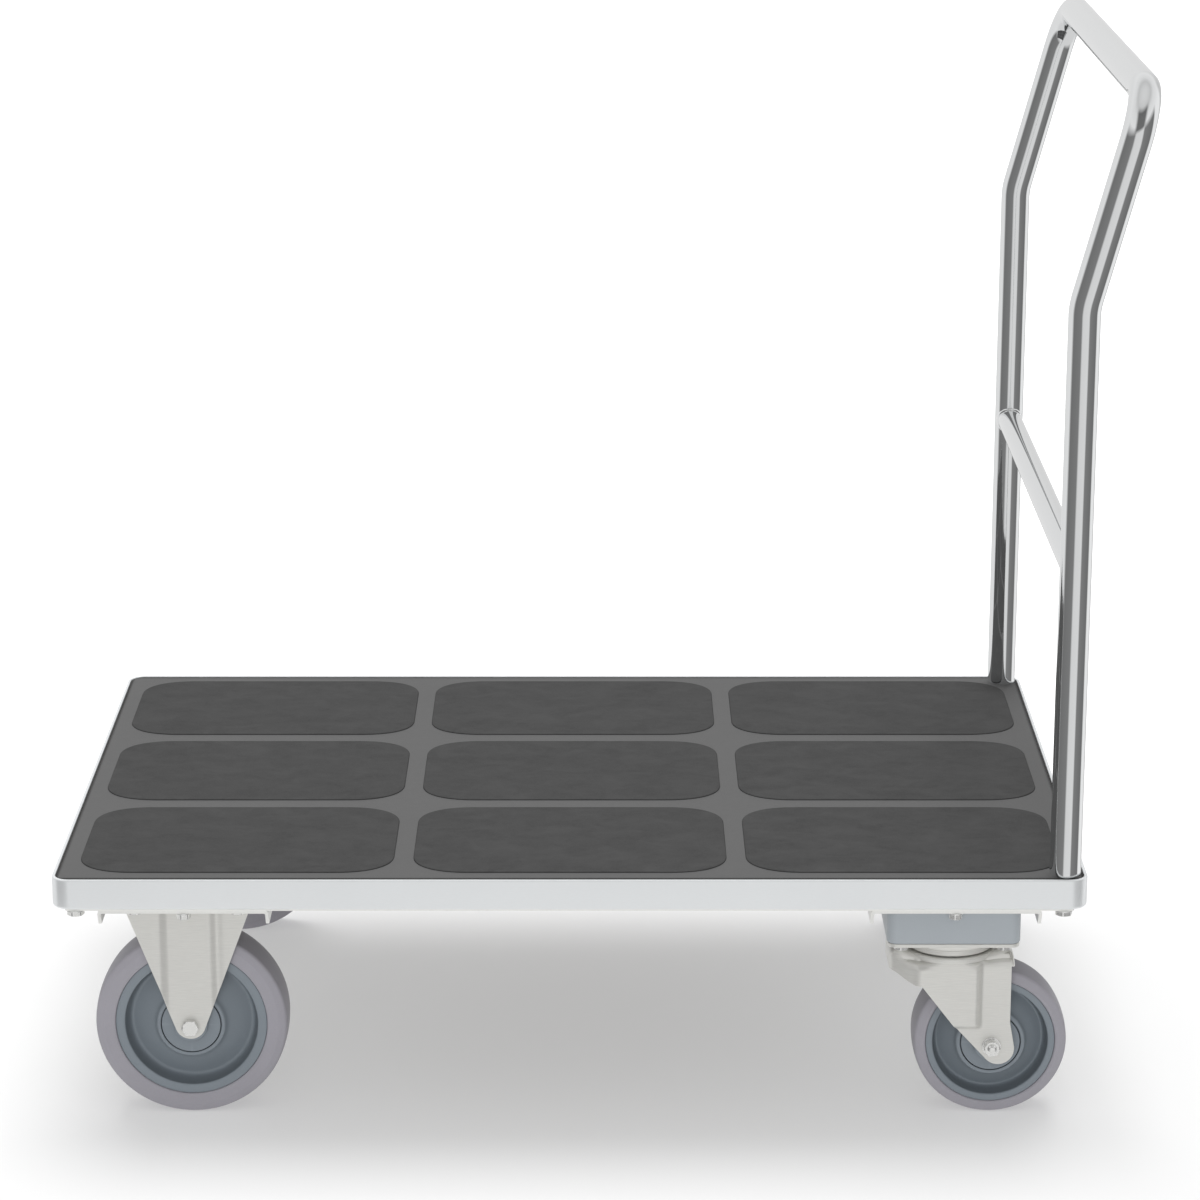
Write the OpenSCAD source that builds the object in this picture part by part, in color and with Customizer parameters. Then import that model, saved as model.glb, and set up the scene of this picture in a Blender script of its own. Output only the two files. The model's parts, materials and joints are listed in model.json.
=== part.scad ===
// Airport luggage trolley: platform truck with a rubber-topped deck, one bent
// tube handle, two fixed castors under the front and two swivel castors under
// the handle end. Millimetres, +Z up, floor at z = 0, handle at +X.
// Left and right are those of a person holding the handle and looking at the
// deck, so left is -Y. The origin is on the floor, under the middle of the
// overall box.

/* [Platform] */
// Length of the deck over the rim
deck_l = 1050; // [950:10:1200]
// Width of the deck over the rim
deck_w = 700; // [650:10:800]
// Height of the rim band
rim_h = 32; // [30:0.5:40]
// Thickness of the rim band
rim_t = 3.5; // [3:0.5:5]
// Width of the inward leg under the deck board
angle_w = 32; // [28:1:32]
// Plan radius of the rim corners
corner_r = 19; // [14:1:30]
// Thickness of the rubber mat
mat_t = 3; // [2:0.5:4]

/* [Mat pads] */
// Length of one pad
pad_l = 321.5; // [290:0.5:322]
// Width of one pad
pad_w = 201.4; // [185:0.2:202]
// Pitch of the pads along the deck
pad_px = 341; // [330:1:345]
// Pitch of the pads across the deck
pad_py = 225.8; // [210:0.2:228]
// Plan radius of the pad corners
pad_r = 45; // [20:1:60]
// Height of the pads above the mat
pad_h = 1.5; // [1:0.5:3]

/* [Handle] */
// Overall height, floor to the top of the grip
handle_h = 1088; // [1000:1:1150]
// Outer diameter of the handle tube
tube_d = 32; // [30:1:34]
// Wall of the handle tube
tube_wall = 2; // [1.5:0.5:3]
// Height of the bend where the legs start to lean
kink_z = 865; // [800:1:900]
// Lean of the upper handle away from the deck, in degrees
lean = 15; // [10:1:20]
// Bend radius at the lean
kink_r = 70; // [50:5:90]
// Bend radius at the grip corners
grip_r = 50; // [40:5:70]
// Inset of the leg axes from the rim face, along the deck
leg_ix = 22.3; // [22:0.1:24]
// Inset of the leg axes from the rim face, across the deck
leg_iy = 22; // [21:0.5:24]
// Outer diameter of the cross brace
brace_d = 27; // [20:1:28]
// Height of the cross brace axis
brace_z = 598; // [450:1:750]

/* [Castors] */
// Height of the castor mounting face of the cross channels
castor_h = 238.5; // [238:0.5:250]
// Overall height of a swivel castor
swivel_h = 199; // [199:0.5:205]
// Inset of the castor centres from the rim face, along the deck
castor_ix = 132; // [125:1:160]
// Inset of the castor centres from the rim face, across the deck
castor_iy = 86; // [86:1:120]
// Diameter of the fixed wheels
fixed_d = 200; // [196:1:200]
// Diameter of the swivel wheels
swivel_d = 160; // [156:1:160]
// Width of the tyres
tyre_w = 50; // [46:1:50]
// Offset of the swivel wheel axle behind the kingpin
trail = 43; // [40:1:45]
// Length of the castor plates
plate_l = 135; // [130:1:138]
// Width of the castor plates
plate_w = 110; // [104:1:110]
// Bolt spacing of the castor plates, along the deck
bolt_sx = 105; // [100:1:108]
// Bolt spacing of the castor plates, across the deck
bolt_sy = 80; // [75:1:80]
// Distance over the flanges of a cross channel
channel_w = 174; // [165:1:180]
// Height of a cross channel
channel_h = 17; // [12:0.5:20]

/* [Hidden] */
$fn = 72;

// Sheet and bar thicknesses under the deck
web_t = 3.5;
bar_t = 6;
bar_w = 20;
angle_t = 3.5;
plate_t = 4;

// Heights, floor up
web_z = castor_h;
bar_z = web_z + web_t;
rim_z = bar_z + bar_t;
board_z = rim_z + angle_t;
board_top = rim_z + rim_h - mat_t - 0.5;
mat_top = board_top + mat_t;

// Handle
tube_r = tube_d / 2;
grip_z = handle_h - tube_r;
leg_x = deck_l / 2 - leg_ix;
leg_y = deck_w / 2 - leg_iy;
grip_x = leg_x + (grip_z - kink_z) * tan(lean);
lean_l = (grip_z - kink_z) / cos(lean);
kink_c = kink_r * tan(lean / 2);

// The deck is centred on x = 0 inside the modules, then moved back by this much
// so that the overall box is centred on the origin
xs = (grip_x + tube_r - deck_l / 2) / 2;

// Castors
cx = deck_l / 2 - castor_ix;
cy = deck_w / 2 - castor_iy;
hole_r = 5.5;
bolt_r = 5;
fix_in = 30.5;
fix_t = 3.5;
fix_jog = 2.5;
swi_in = 34.5;
swi_t = 3.5;
swi_out = 46;
head_z = swivel_h - 19;
boss_y = 27;
sleeve_r = 10;
bearing_r = 23.5;
cap_r = 30.6;

steel = [0.82, 0.82, 0.79];
zinc = [0.87, 0.88, 0.88];
mirror_steel = [0.80, 0.82, 0.83];
hub_grey = [0.49, 0.53, 0.57];
tyre_grey = [0.63, 0.61, 0.64];
block_grey = [0.61, 0.63, 0.65];

// ---------- helpers ----------

module place(x = 0, y = 0) { translate([x - xs, y, 0]) children(); }

module corners(x, y) { for (i = [-1, 1], j = [-1, 1]) translate([i * x, j * y, 0]) children(); }

module rounded(l, w, r) {
    square([l - 2 * r, w], center = true);
    square([l, w - 2 * r], center = true);
    corners(l / 2 - r, w / 2 - r) circle(r);
}

module slab(l, w, r, z0, z1) { translate([0, 0, z0]) linear_extrude(z1 - z0) rounded(l, w, r); }

// Hexagon head with its underside at z = 0 and a chamfered outer rim
module hex(af, h) {
    intersection() {
        cylinder(r = af / 2 / cos(30), h = h, $fn = 6);
        cylinder(r1 = af / 2 / cos(30) + 0.6 * h, r2 = af / 2 - 0.1, h = h);
    }
}

// Bolt standing head down: the head hangs below z0, the shank reaches z1.
// collar is the radius of the flange under the head
module bolt_up(r, af, z0, z1, head = 5, collar = 0) {
    translate([0, 0, z0 - 1.5]) cylinder(r = collar > 0 ? collar : af / 2 / cos(30) + 1, h = 1.5);
    translate([0, 0, z0 - 1.5]) mirror([0, 0, 1]) hex(af, head);
    translate([0, 0, z0]) cylinder(r = r, h = z1 - z0);
}

// Tee nut let into the board top
module tee_nut(r) {
    difference() {
        union() {
            translate([0, 0, board_top - 1.5]) cylinder(r = 11, h = 1.5);
            translate([0, 0, board_top - 14]) cylinder(r = r + 1.8, h = 13);
        }
        translate([0, 0, board_top - 15]) cylinder(r = r, h = 16);
    }
}

// ---------- platform ----------

module rim_frame() color(zinc) place() difference() {
    slab(deck_l, deck_w, corner_r, rim_z, rim_z + rim_h);
    slab(deck_l - 2 * rim_t, deck_w - 2 * rim_t, corner_r - rim_t, rim_z + angle_t, rim_z + rim_h + 1);
    slab(deck_l - 2 * angle_w, deck_w - 2 * angle_w, 4, rim_z - 1, rim_z + rim_h + 1);
    corners(leg_x, leg_y) translate([0, 0, rim_z - 1]) cylinder(r = hole_r, h = 6);
    corners(cx, leg_y) translate([0, 0, rim_z - 1]) cylinder(r = 4.5, h = 6);
}

module deck_board() color([0.55, 0.43, 0.30]) place() difference() {
    slab(deck_l - 2 * rim_t - 1, deck_w - 2 * rim_t - 1, corner_r - rim_t - 0.5, board_z, board_top);
    corners(leg_x, leg_y) translate([0, 0, board_z - 1]) cylinder(r = hole_r, h = 40);
    corners(cx, leg_y) translate([0, 0, board_z - 1]) cylinder(r = 4.5, h = 40);
    for (j = [-1, 1]) {
        translate([-leg_x, j * leg_y, board_top - 1.5]) cylinder(r = 11, h = 3);
        translate([-leg_x, j * leg_y, board_top - 14]) cylinder(r = bolt_r + 1.8, h = 16);
        for (i = [-1, 1]) {
            translate([i * cx, j * leg_y, board_top - 1.5]) cylinder(r = 11, h = 3);
            translate([i * cx, j * leg_y, board_top - 14]) cylinder(r = 5.8, h = 16);
        }
    }
}

module deck_mat() color([0.43, 0.43, 0.43]) place() difference() {
    slab(deck_l - 2 * rim_t - 0.4, deck_w - 2 * rim_t - 0.4, corner_r - rim_t - 0.2, board_top, mat_top);
    for (j = [-1, 1]) translate([leg_x, j * leg_y, board_top - 1]) cylinder(r = tube_r + 0.3, h = mat_t + 2);
}

module mat_pads() color([0.33, 0.33, 0.33]) place()
    for (i = [-1:1], j = [-1:1]) translate([i * pad_px, j * pad_py, 0])
        slab(pad_l, pad_w, pad_r, mat_top, mat_top + pad_h);

module support_bars() color(steel) place() difference() {
    for (j = [-1, 1]) translate([0, j * (leg_y - 2), bar_z + bar_t / 2])
        cube([deck_l - 28, bar_w, bar_t], center = true);
    corners(leg_x, leg_y) translate([0, 0, bar_z - 1]) cylinder(r = hole_r, h = 8);
    corners(cx, leg_y) translate([0, 0, bar_z - 1]) cylinder(r = 4.5, h = 8);
}

// Downward-open cross channel that carries one pair of castors
module channel(x) color(steel) place(x) difference() {
    translate([0, 0, bar_z - channel_h / 2]) cube([channel_w, deck_w - 30, channel_h], center = true);
    translate([0, 0, web_z - channel_h]) cube([channel_w - 2 * web_t, deck_w, 2 * channel_h], center = true);
    for (j = [-1, 1]) {
        translate([0, j * cy, web_z - 1]) corners(bolt_sx / 2, bolt_sy / 2) cylinder(r = hole_r, h = web_t + 2);
        translate([0, j * leg_y, web_z - 1]) cylinder(r = 4.5, h = web_t + 2);
        // flange ends cut back at a slant
        translate([0, j * (deck_w / 2 - 15), bar_z - channel_h]) rotate([45, 0, 0]) cube([channel_w + 2, 8, 8], center = true);
    }
}
module channel_front() { channel(-cx); }
module channel_rear() { channel(cx); }

// ---------- handle ----------

// Wall of the handle tube; e widens it a hair, so that a straight length overlaps the bend it runs into
module ring(e = 0) { difference() { circle(tube_r + e); circle(tube_r - tube_wall - e); } }
lap = 1;

// One bent tube: straight legs, lean bends, corner bends and grip
module handle_tube() color(mirror_steel) place() {
    $fn = 36;
    for (j = [-1, 1]) translate([leg_x, j * leg_y, 0]) {
        translate([0, 0, board_top]) linear_extrude(kink_z - kink_c - board_top + lap) ring(0.1);
        translate([kink_r, 0, kink_z - kink_c]) rotate([90, 0, 180])
            rotate_extrude(angle = lean) translate([kink_r, 0]) ring();
        translate([0, 0, kink_z]) rotate([0, lean, 0]) translate([0, 0, kink_c - lap])
            linear_extrude(lean_l - kink_c - grip_r + 2 * lap) ring(0.1);
        translate([0, 0, kink_z]) rotate([0, lean, 0])
            translate([0, -j * grip_r, lean_l - grip_r]) rotate([0, 90, 0]) rotate([0, 0, j > 0 ? 90 : 180])
                rotate_extrude(angle = 90) translate([grip_r, 0]) ring();
    }
    translate([grip_x, 0, grip_z]) rotate([0, lean, 0]) rotate([90, 0, 0])
        linear_extrude(2 * (leg_y - grip_r + lap), center = true) ring(0.1);
}

module handle_brace() color(mirror_steel) place() difference() {
    translate([leg_x, 0, brace_z]) rotate([90, 0, 0]) difference() {
        cylinder(d = brace_d, h = 2 * leg_y, center = true);
        cylinder(d = brace_d - 4, h = 2 * leg_y + 2, center = true);
    }
    for (j = [-1, 1]) translate([leg_x, j * leg_y, brace_z - 40]) cylinder(r = tube_r + 0.12, h = 80);
}

module handle_plugs() color(steel) place() for (j = [-1, 1]) translate([leg_x, j * leg_y, board_top]) difference() {
    cylinder(r = tube_r - tube_wall - 0.1, h = 32);
    translate([0, 0, -1]) cylinder(r = bolt_r + 0.02, h = 34);
}

// ---------- fasteners ----------

module corner_bolts() color(zinc) place() for (j = [-1, 1]) {
    translate([leg_x, j * leg_y, 0]) bolt_up(bolt_r, 16, bar_z, board_top + 24);
    translate([-leg_x, j * leg_y, 0]) bolt_up(bolt_r, 16, bar_z, board_top - 1);
}

module corner_tee_nuts() color(steel) place() for (j = [-1, 1]) translate([-leg_x, j * leg_y, 0]) tee_nut(bolt_r);

module channel_bolts() color(zinc) place() corners(cx, leg_y) bolt_up(4, 13, web_z, board_top - 1, 6);

module channel_tee_nuts() color(steel) place() corners(cx, leg_y) tee_nut(4);

module fixed_castor_bolts() color(zinc) place(-cx) for (j = [-1, 1]) translate([0, j * cy, 0])
    corners(bolt_sx / 2, bolt_sy / 2) bolt_up(bolt_r, 16, castor_h - plate_t, bar_z + 9, 5, 7.7);

module swivel_castor_bolts() color(zinc) place(cx) for (j = [-1, 1]) translate([0, j * cy, 0])
    corners(bolt_sx / 2, bolt_sy / 2) bolt_up(bolt_r, 14, swivel_h - plate_t, bar_z + 9, 4.6);

module castor_nuts() color(zinc) place() for (i = [-1, 1], j = [-1, 1]) translate([i * cx, j * cy, bar_z])
    corners(bolt_sx / 2, bolt_sy / 2) difference() {
        hex(16, 8);
        translate([0, 0, -1]) cylinder(r = bolt_r + 0.02, h = 10);
    }

// ---------- wheels ----------

function arc(cr, cy, r, a0, a1, n) = [for (i = [0:n]) let (a = a0 + (a1 - a0) * i / n) [cr + r * cos(a), cy + r * sin(a)]];
function blend(t) = t <= 0 ? 0 : t >= 1 ? 1 : t * t * (3 - 2 * t);
function flip(p) = [for (i = [len(p) - 1:-1:0]) [p[i][0], -p[i][1]]];

// Everything below is turned about its own z axis, then laid along Y
module lay(x, y, z) { place(x, y) translate([0, 0, z]) rotate([90, 0, 0]) children(); }

// Solid tyre: flat side wall, round shoulder, lightly crowned tread
module tyre(r, ri) {
    h = tyre_w / 2;
    half = concat([[ri, h - 1], [ri + 1.2, h]], arc(r - 7, h - 6, 6, 90, 14, 8), [[r - 0.35, h * 0.55], [r, h * 0.2]]);
    rotate_extrude() polygon(concat(half, flip(half)));
}

// Moulded wheel centre: outer ring, dished web and a boss bored for two bearings
module hub(ri, ring) {
    web = 6;
    n = 18;
    half = concat([[20.5, 0], [20.5, 11], [bearing_r, 11], [bearing_r, 25], [cap_r, 25], [cap_r, boss_y], [35, boss_y]],
        [for (i = [0:n]) let (t = i / n, rr = 36 + (ring - 36) * t)
            [rr, web + (boss_y - 1 - web) * (1 - blend(t / 0.34)) + (tyre_w / 2 - 2 - web) * blend((t - 0.62) / 0.38)]],
        [[ring + 0.6, tyre_w / 2 - 1.2], [ri, tyre_w / 2 - 1.2]]);
    rotate_extrude() polygon(concat(half, [for (p = flip(half)) if (p[1] < 0) p]));
}

module bearings() for (s = [-1, 1]) translate([0, 0, s * 18]) difference() {
    cylinder(r = bearing_r, h = 14, center = true);
    cylinder(r = sleeve_r + 0.05, h = 16, center = true);
    for (k = [-1, 1]) translate([0, 0, k * 7]) difference() {
        cylinder(r = 20.5, h = 1.2, center = true);
        cylinder(r = 13.2, h = 2, center = true);
    }
}

module caps() for (s = [-1, 1]) translate([0, 0, s * (boss_y - 1)]) difference() {
    cylinder(r = cap_r, h = 2, center = true);
    cylinder(r = 12.5, h = 4, center = true);
}

// Inner sleeve that the bearings turn on, with a shoulder at each fork leg
module sleeve(gap) difference() {
    union() {
        cylinder(r = sleeve_r, h = 2 * gap, center = true);
        for (s = [-1, 1]) translate([0, 0, s * (gap + boss_y + 0.3) / 2])
            cylinder(r = 17.5, h = gap - boss_y - 0.3, center = true);
    }
    cylinder(r = bolt_r + 0.2, h = 2 * gap + 2, center = true);
}

// Axle bolt and nut; side says on which end the head is (+1 is +Z before laying)
module axle_bolt(out, side) mirror([0, 0, side > 0 ? 0 : 1]) {
    translate([0, 0, out]) hex(16, 6.4);
    translate([0, 0, -out - 12]) cylinder(r = bolt_r, h = 2 * out + 12);
}
module axle_nut(out, side) mirror([0, 0, side > 0 ? 0 : 1]) difference() {
    union() {
        translate([0, 0, -out - 1.5]) cylinder(r = 9.8, h = 1.5);
        translate([0, 0, -out - 1.5]) mirror([0, 0, 1]) hex(16, 8);
    }
    translate([0, 0, -out - 12]) cylinder(r = bolt_r, h = 14);
}

fr = fixed_d / 2;
sr = swivel_d / 2;
module f_at(j) { lay(-cx, j * cy, fr) children(); }
module s_at(j) { lay(cx + trail, j * cy, sr) children(); }
f_ri = fr * 0.786;
f_ring = fr * 0.685;
s_ri = sr * 0.84;
s_ring = sr * 0.744;
f_out = fix_in + fix_t;
s_out = swi_in + swi_t;

module fixed_left_tyre() color(tyre_grey) f_at(-1) tyre(fr, f_ri);
module fixed_right_tyre() color(tyre_grey) f_at(1) tyre(fr, f_ri);
module swivel_left_tyre() color(tyre_grey) s_at(-1) tyre(sr, s_ri);
module swivel_right_tyre() color(tyre_grey) s_at(1) tyre(sr, s_ri);
module fixed_left_hub() color(hub_grey) f_at(-1) hub(f_ri, f_ring);
module fixed_right_hub() color(hub_grey) f_at(1) hub(f_ri, f_ring);
module swivel_left_hub() color(hub_grey) s_at(-1) hub(s_ri, s_ring);
module swivel_right_hub() color(hub_grey) s_at(1) hub(s_ri, s_ring);
module fixed_left_bearings() color(steel) f_at(-1) bearings();
module fixed_right_bearings() color(steel) f_at(1) bearings();
module swivel_left_bearings() color(steel) s_at(-1) bearings();
module swivel_right_bearings() color(steel) s_at(1) bearings();
module fixed_left_caps() color(hub_grey) f_at(-1) caps();
module fixed_right_caps() color(hub_grey) f_at(1) caps();
module swivel_left_caps() color(hub_grey) s_at(-1) caps();
module swivel_right_caps() color(hub_grey) s_at(1) caps();
module fixed_left_axle_sleeve() color(hub_grey) f_at(-1) sleeve(fix_in);
module fixed_right_axle_sleeve() color(hub_grey) f_at(1) sleeve(fix_in);
module swivel_left_axle_sleeve() color(hub_grey) s_at(-1) sleeve(swi_in);
module swivel_right_axle_sleeve() color(hub_grey) s_at(1) sleeve(swi_in);
module fixed_left_axle_bolt() color(zinc) f_at(-1) axle_bolt(f_out, 1);
module fixed_right_axle_bolt() color(zinc) f_at(1) axle_bolt(f_out, 1);
module fixed_left_axle_nut() color(zinc) f_at(-1) axle_nut(f_out, 1);
module fixed_right_axle_nut() color(zinc) f_at(1) axle_nut(f_out, 1);
module swivel_left_axle_bolt() color(zinc) s_at(-1) axle_bolt(s_out, -1);
module swivel_right_axle_bolt() color(zinc) s_at(1) axle_bolt(s_out, -1);
module swivel_left_axle_nut() color(zinc) s_at(-1) axle_nut(s_out, -1);
module swivel_right_axle_nut() color(zinc) s_at(1) axle_nut(s_out, -1);

// ---------- fixed castor ----------

tip_r = 15.7;
tip_z = fr + 2.2;
vee_w = 66.5;
// Where the slanted edge of the vee meets the round tip
vee_h = castor_h - plate_t - tip_z;
vee_a = atan2(vee_h, vee_w) - acos(tip_r / sqrt(vee_w * vee_w + vee_h * vee_h));

// Pressed side plate: a vee with a centre panel that stands out by fix_jog
module fixed_cheek() intersection() {
    translate([0, 60, 0]) rotate([90, 0, 0]) linear_extrude(60) union() {
        polygon([[vee_w, castor_h - plate_t], [tip_r * cos(vee_a), tip_z + tip_r * sin(vee_a)],
            [-tip_r * cos(vee_a), tip_z + tip_r * sin(vee_a)], [-vee_w, castor_h - plate_t]]);
        translate([0, tip_z]) circle(tip_r);
    }
    linear_extrude(castor_h - plate_t) polygon([[-vee_w - 1, fix_in - fix_jog], [-28, fix_in - fix_jog], [-21, fix_in], [21, fix_in],
        [28, fix_in - fix_jog], [vee_w + 1, fix_in - fix_jog], [vee_w + 1, f_out - fix_jog], [27, f_out - fix_jog],
        [20, f_out], [-20, f_out], [-27, f_out - fix_jog], [-vee_w - 1, f_out - fix_jog]]);
}

module fixed_fork(j) color(steel) place(-cx, j * cy) difference() {
    union() {
        slab(plate_l, plate_w, 9, castor_h - plate_t, castor_h);
        fixed_cheek();
        mirror([0, 1, 0]) fixed_cheek();
    }
    corners(bolt_sx / 2, bolt_sy / 2) translate([0, 0, castor_h - 6]) cylinder(r = hole_r, h = 8);
    translate([0, 0, fr]) rotate([90, 0, 0]) cylinder(r = bolt_r + 0.2, h = 100, center = true);
}
module fixed_left_fork() { fixed_fork(-1); }
module fixed_right_fork() { fixed_fork(1); }

// ---------- swivel castor ----------

module spacer(j) color(block_grey) place(cx, j * cy) difference() {
    slab(plate_l + 2, plate_w, 11, swivel_h, web_z);
    corners(bolt_sx / 2, bolt_sy / 2) translate([0, 0, swivel_h - 1]) cylinder(r = hole_r, h = 60);
    translate([0, 0, swivel_h - 1]) cylinder(r = 20, h = 60);
}
module swivel_left_spacer() { spacer(-1); }
module swivel_right_spacer() { spacer(1); }

// Mounting plate with the upper cup of the ball race
module top_plate(j) color(steel) place(cx, j * cy) difference() {
    union() {
        slab(plate_l, plate_w, 9, swivel_h - plate_t, swivel_h);
        translate([0, 0, head_z + 1.5]) cylinder(r1 = 44, r2 = 46, h = swivel_h - plate_t - head_z - 1.5);
    }
    translate([0, 0, head_z]) cylinder(r = 41, h = 8);
    translate([0, 0, head_z]) cylinder(r = 6, h = 30);
    corners(bolt_sx / 2, bolt_sy / 2) translate([0, 0, swivel_h - 6]) cylinder(r = hole_r, h = 8);
}
module swivel_left_plate() { top_plate(-1); }
module swivel_right_plate() { top_plate(1); }

module kingpin(j) color(zinc) place(cx, j * cy) {
    translate([0, 0, head_z - 11]) cylinder(r = 6, h = swivel_h - head_z + 11);
    translate([0, 0, swivel_h]) cylinder(r1 = 12, r2 = 9, h = 5);
    translate([0, 0, head_z - 4.3]) mirror([0, 0, 1]) hex(19, 7);
}
module swivel_left_kingpin() { kingpin(-1); }
module swivel_right_kingpin() { kingpin(1); }

// Ball ring carried on the fork head
module balls(j) color([0.75, 0.75, 0.74]) place(cx, j * cy) union() {
    translate([0, 0, head_z]) difference() {
        cylinder(r = 39, h = 3);
        translate([0, 0, -1]) cylinder(r = 33, h = 5);
    }
    for (k = [0:19]) rotate([0, 0, 18 * k]) translate([36, 0, head_z + 4]) sphere(r = 3.6);
}
module swivel_left_balls() { balls(-1); }
module swivel_right_balls() { balls(1); }

// Round end of a fork leg, a little behind the axle
leg_tip = [trail + 7, sr - 3.5];

module extrude_y(y0, y1) { translate([0, y1, 0]) rotate([90, 0, 0]) linear_extrude(y1 - y0) children(); }

// One cheek: a wide upper panel, stepped in to the leg that holds the axle
module swivel_cheek() {
    extrude_y(swi_out - swi_t, swi_out)
        polygon([[-38, head_z - 4], [-31, 149], [5, 103], [29, 103], [29, head_z - 4]]);
    extrude_y(swi_in, s_out) {
        polygon([[26, head_z - 4], [61.6, head_z - 4], [61.6, 106], [leg_tip[0] + 16.4, leg_tip[1] + 1.5], leg_tip,
            [leg_tip[0] - 12.3, leg_tip[1] - 11], [7.5, 98.5], [5, 103], [26, 106]]);
        translate(leg_tip) circle(16.5);
    }
    extrude_y(swi_in, swi_out) {
        polygon([[26, head_z - 4], [29.5, head_z - 4], [29.5, 103], [26, 103]]);
        polygon([[5, 103], [29.5, 103], [29.5, 106.5], [2.3, 106.5]]);
    }
}

module swivel_fork(j) color(steel) place(cx, j * cy) difference() {
    union() {
        intersection() {
            translate([-64, -swi_out, head_z - 4]) cube([128, 2 * swi_out, 4]);
            cylinder(r = 70, h = 300);
        }
        swivel_cheek();
        mirror([0, 1, 0]) swivel_cheek();
        // turned-down lips of the head
        translate([-64, -28, head_z - 20]) cube([3.5, 56, 18]);
        translate([60.5, -34, head_z - 12]) cube([3.5, 68, 10]);
        for (s = [0, 1]) mirror([0, s, 0]) translate([0, 0, head_z - 18]) linear_extrude(16)
            polygon([[-64, 27], [-36, swi_out - 1], [-33, swi_out - 3.5], [-61, 24]]);
    }
    translate([0, 0, head_z - 30]) cylinder(r = 6.05, h = 60);
    translate([trail, 0, sr]) rotate([90, 0, 0]) cylinder(r = bolt_r + 0.2, h = 120, center = true);
}
module swivel_left_fork() { swivel_fork(-1); }
module swivel_right_fork() { swivel_fork(1); }

// ---------- pieces ----------

rim_frame();
deck_board();
deck_mat();
mat_pads();
support_bars();
channel_front();
channel_rear();
handle_tube();
handle_brace();
handle_plugs();
corner_bolts();
corner_tee_nuts();
channel_bolts();
channel_tee_nuts();
fixed_castor_bolts();
swivel_castor_bolts();
castor_nuts();
fixed_left_fork();
fixed_left_axle_bolt();
fixed_left_axle_nut();
fixed_left_axle_sleeve();
fixed_right_fork();
fixed_right_axle_bolt();
fixed_right_axle_nut();
fixed_right_axle_sleeve();
fixed_left_tyre();
fixed_left_hub();
fixed_left_bearings();
fixed_left_caps();
fixed_right_tyre();
fixed_right_hub();
fixed_right_bearings();
fixed_right_caps();
swivel_left_spacer();
swivel_left_plate();
swivel_left_kingpin();
swivel_right_spacer();
swivel_right_plate();
swivel_right_kingpin();
swivel_left_fork();
swivel_left_balls();
swivel_left_axle_bolt();
swivel_left_axle_nut();
swivel_left_axle_sleeve();
swivel_right_fork();
swivel_right_balls();
swivel_right_axle_bolt();
swivel_right_axle_nut();
swivel_right_axle_sleeve();
swivel_left_tyre();
swivel_left_hub();
swivel_left_bearings();
swivel_left_caps();
swivel_right_tyre();
swivel_right_hub();
swivel_right_bearings();
swivel_right_caps();
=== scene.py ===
import json
import math
import bpy
import bmesh
import numpy as np
from mathutils import Vector, Matrix


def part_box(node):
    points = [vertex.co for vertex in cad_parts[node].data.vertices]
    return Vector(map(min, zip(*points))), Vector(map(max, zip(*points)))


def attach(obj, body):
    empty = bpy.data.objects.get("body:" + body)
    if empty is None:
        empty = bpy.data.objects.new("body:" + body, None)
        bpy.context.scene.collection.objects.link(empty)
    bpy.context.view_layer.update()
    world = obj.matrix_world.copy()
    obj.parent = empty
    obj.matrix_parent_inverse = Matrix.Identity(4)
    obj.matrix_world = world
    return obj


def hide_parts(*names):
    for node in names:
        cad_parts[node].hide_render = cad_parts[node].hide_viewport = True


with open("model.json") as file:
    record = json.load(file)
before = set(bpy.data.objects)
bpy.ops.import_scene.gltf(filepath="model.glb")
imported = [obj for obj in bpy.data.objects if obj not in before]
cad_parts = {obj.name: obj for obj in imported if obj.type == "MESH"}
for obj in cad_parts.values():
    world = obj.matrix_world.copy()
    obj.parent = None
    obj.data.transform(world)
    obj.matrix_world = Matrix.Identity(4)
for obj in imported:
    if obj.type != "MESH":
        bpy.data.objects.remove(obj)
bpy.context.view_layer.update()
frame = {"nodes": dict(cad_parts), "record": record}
NODES = frame["nodes"]
scene = bpy.context.scene
scene.view_settings.view_transform = "Standard"
scene.view_settings.look = "None"

# ---------------------------------------------------------------- places, from the frame
rim_lo, rim_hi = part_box("rim_frame")
DX = (rim_lo.x + rim_hi.x) / 2          # the deck's middle, along X
DECK_L = (rim_hi.x - rim_lo.x) * 1000
DECK_W = (rim_hi.y - rim_lo.y) * 1000
RIM_Z0, RIM_Z1 = rim_lo.z * 1000, rim_hi.z * 1000
MAT_Z0, MAT_Z1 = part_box("deck_mat")[0].z * 1000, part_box("deck_mat")[1].z * 1000
PAD_Z1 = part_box("mat_pads")[1].z * 1000
grip_lo, grip_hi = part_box("handle_tube")


def middle(node):
    lo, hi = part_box(node)
    return (lo + hi) / 2


# ---------------------------------------------------------------- materials
def nodes_of(mat):
    mat.use_nodes = True
    nt = mat.node_tree
    nt.nodes.clear()
    out = nt.nodes.new("ShaderNodeOutputMaterial")
    bsdf = nt.nodes.new("ShaderNodeBsdfPrincipled")
    nt.links.new(bsdf.outputs[0], out.inputs[0])
    return nt, bsdf


def new(nt, kind, **kw):
    n = nt.nodes.new(kind)
    for k, v in kw.items():
        if k.startswith("i_"):
            n.inputs[int(k[2:]) if k[2:].isdigit() else k[2:]].default_value = v
        else:
            setattr(n, k, v)
    return n


def coords(nt, scale=(1, 1, 1)):
    tc = nt.nodes.new("ShaderNodeTexCoord")
    mp = nt.nodes.new("ShaderNodeMapping")
    mp.inputs["Scale"].default_value = scale
    nt.links.new(tc.outputs["Object"], mp.inputs["Vector"])
    return mp.outputs["Vector"]


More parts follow.
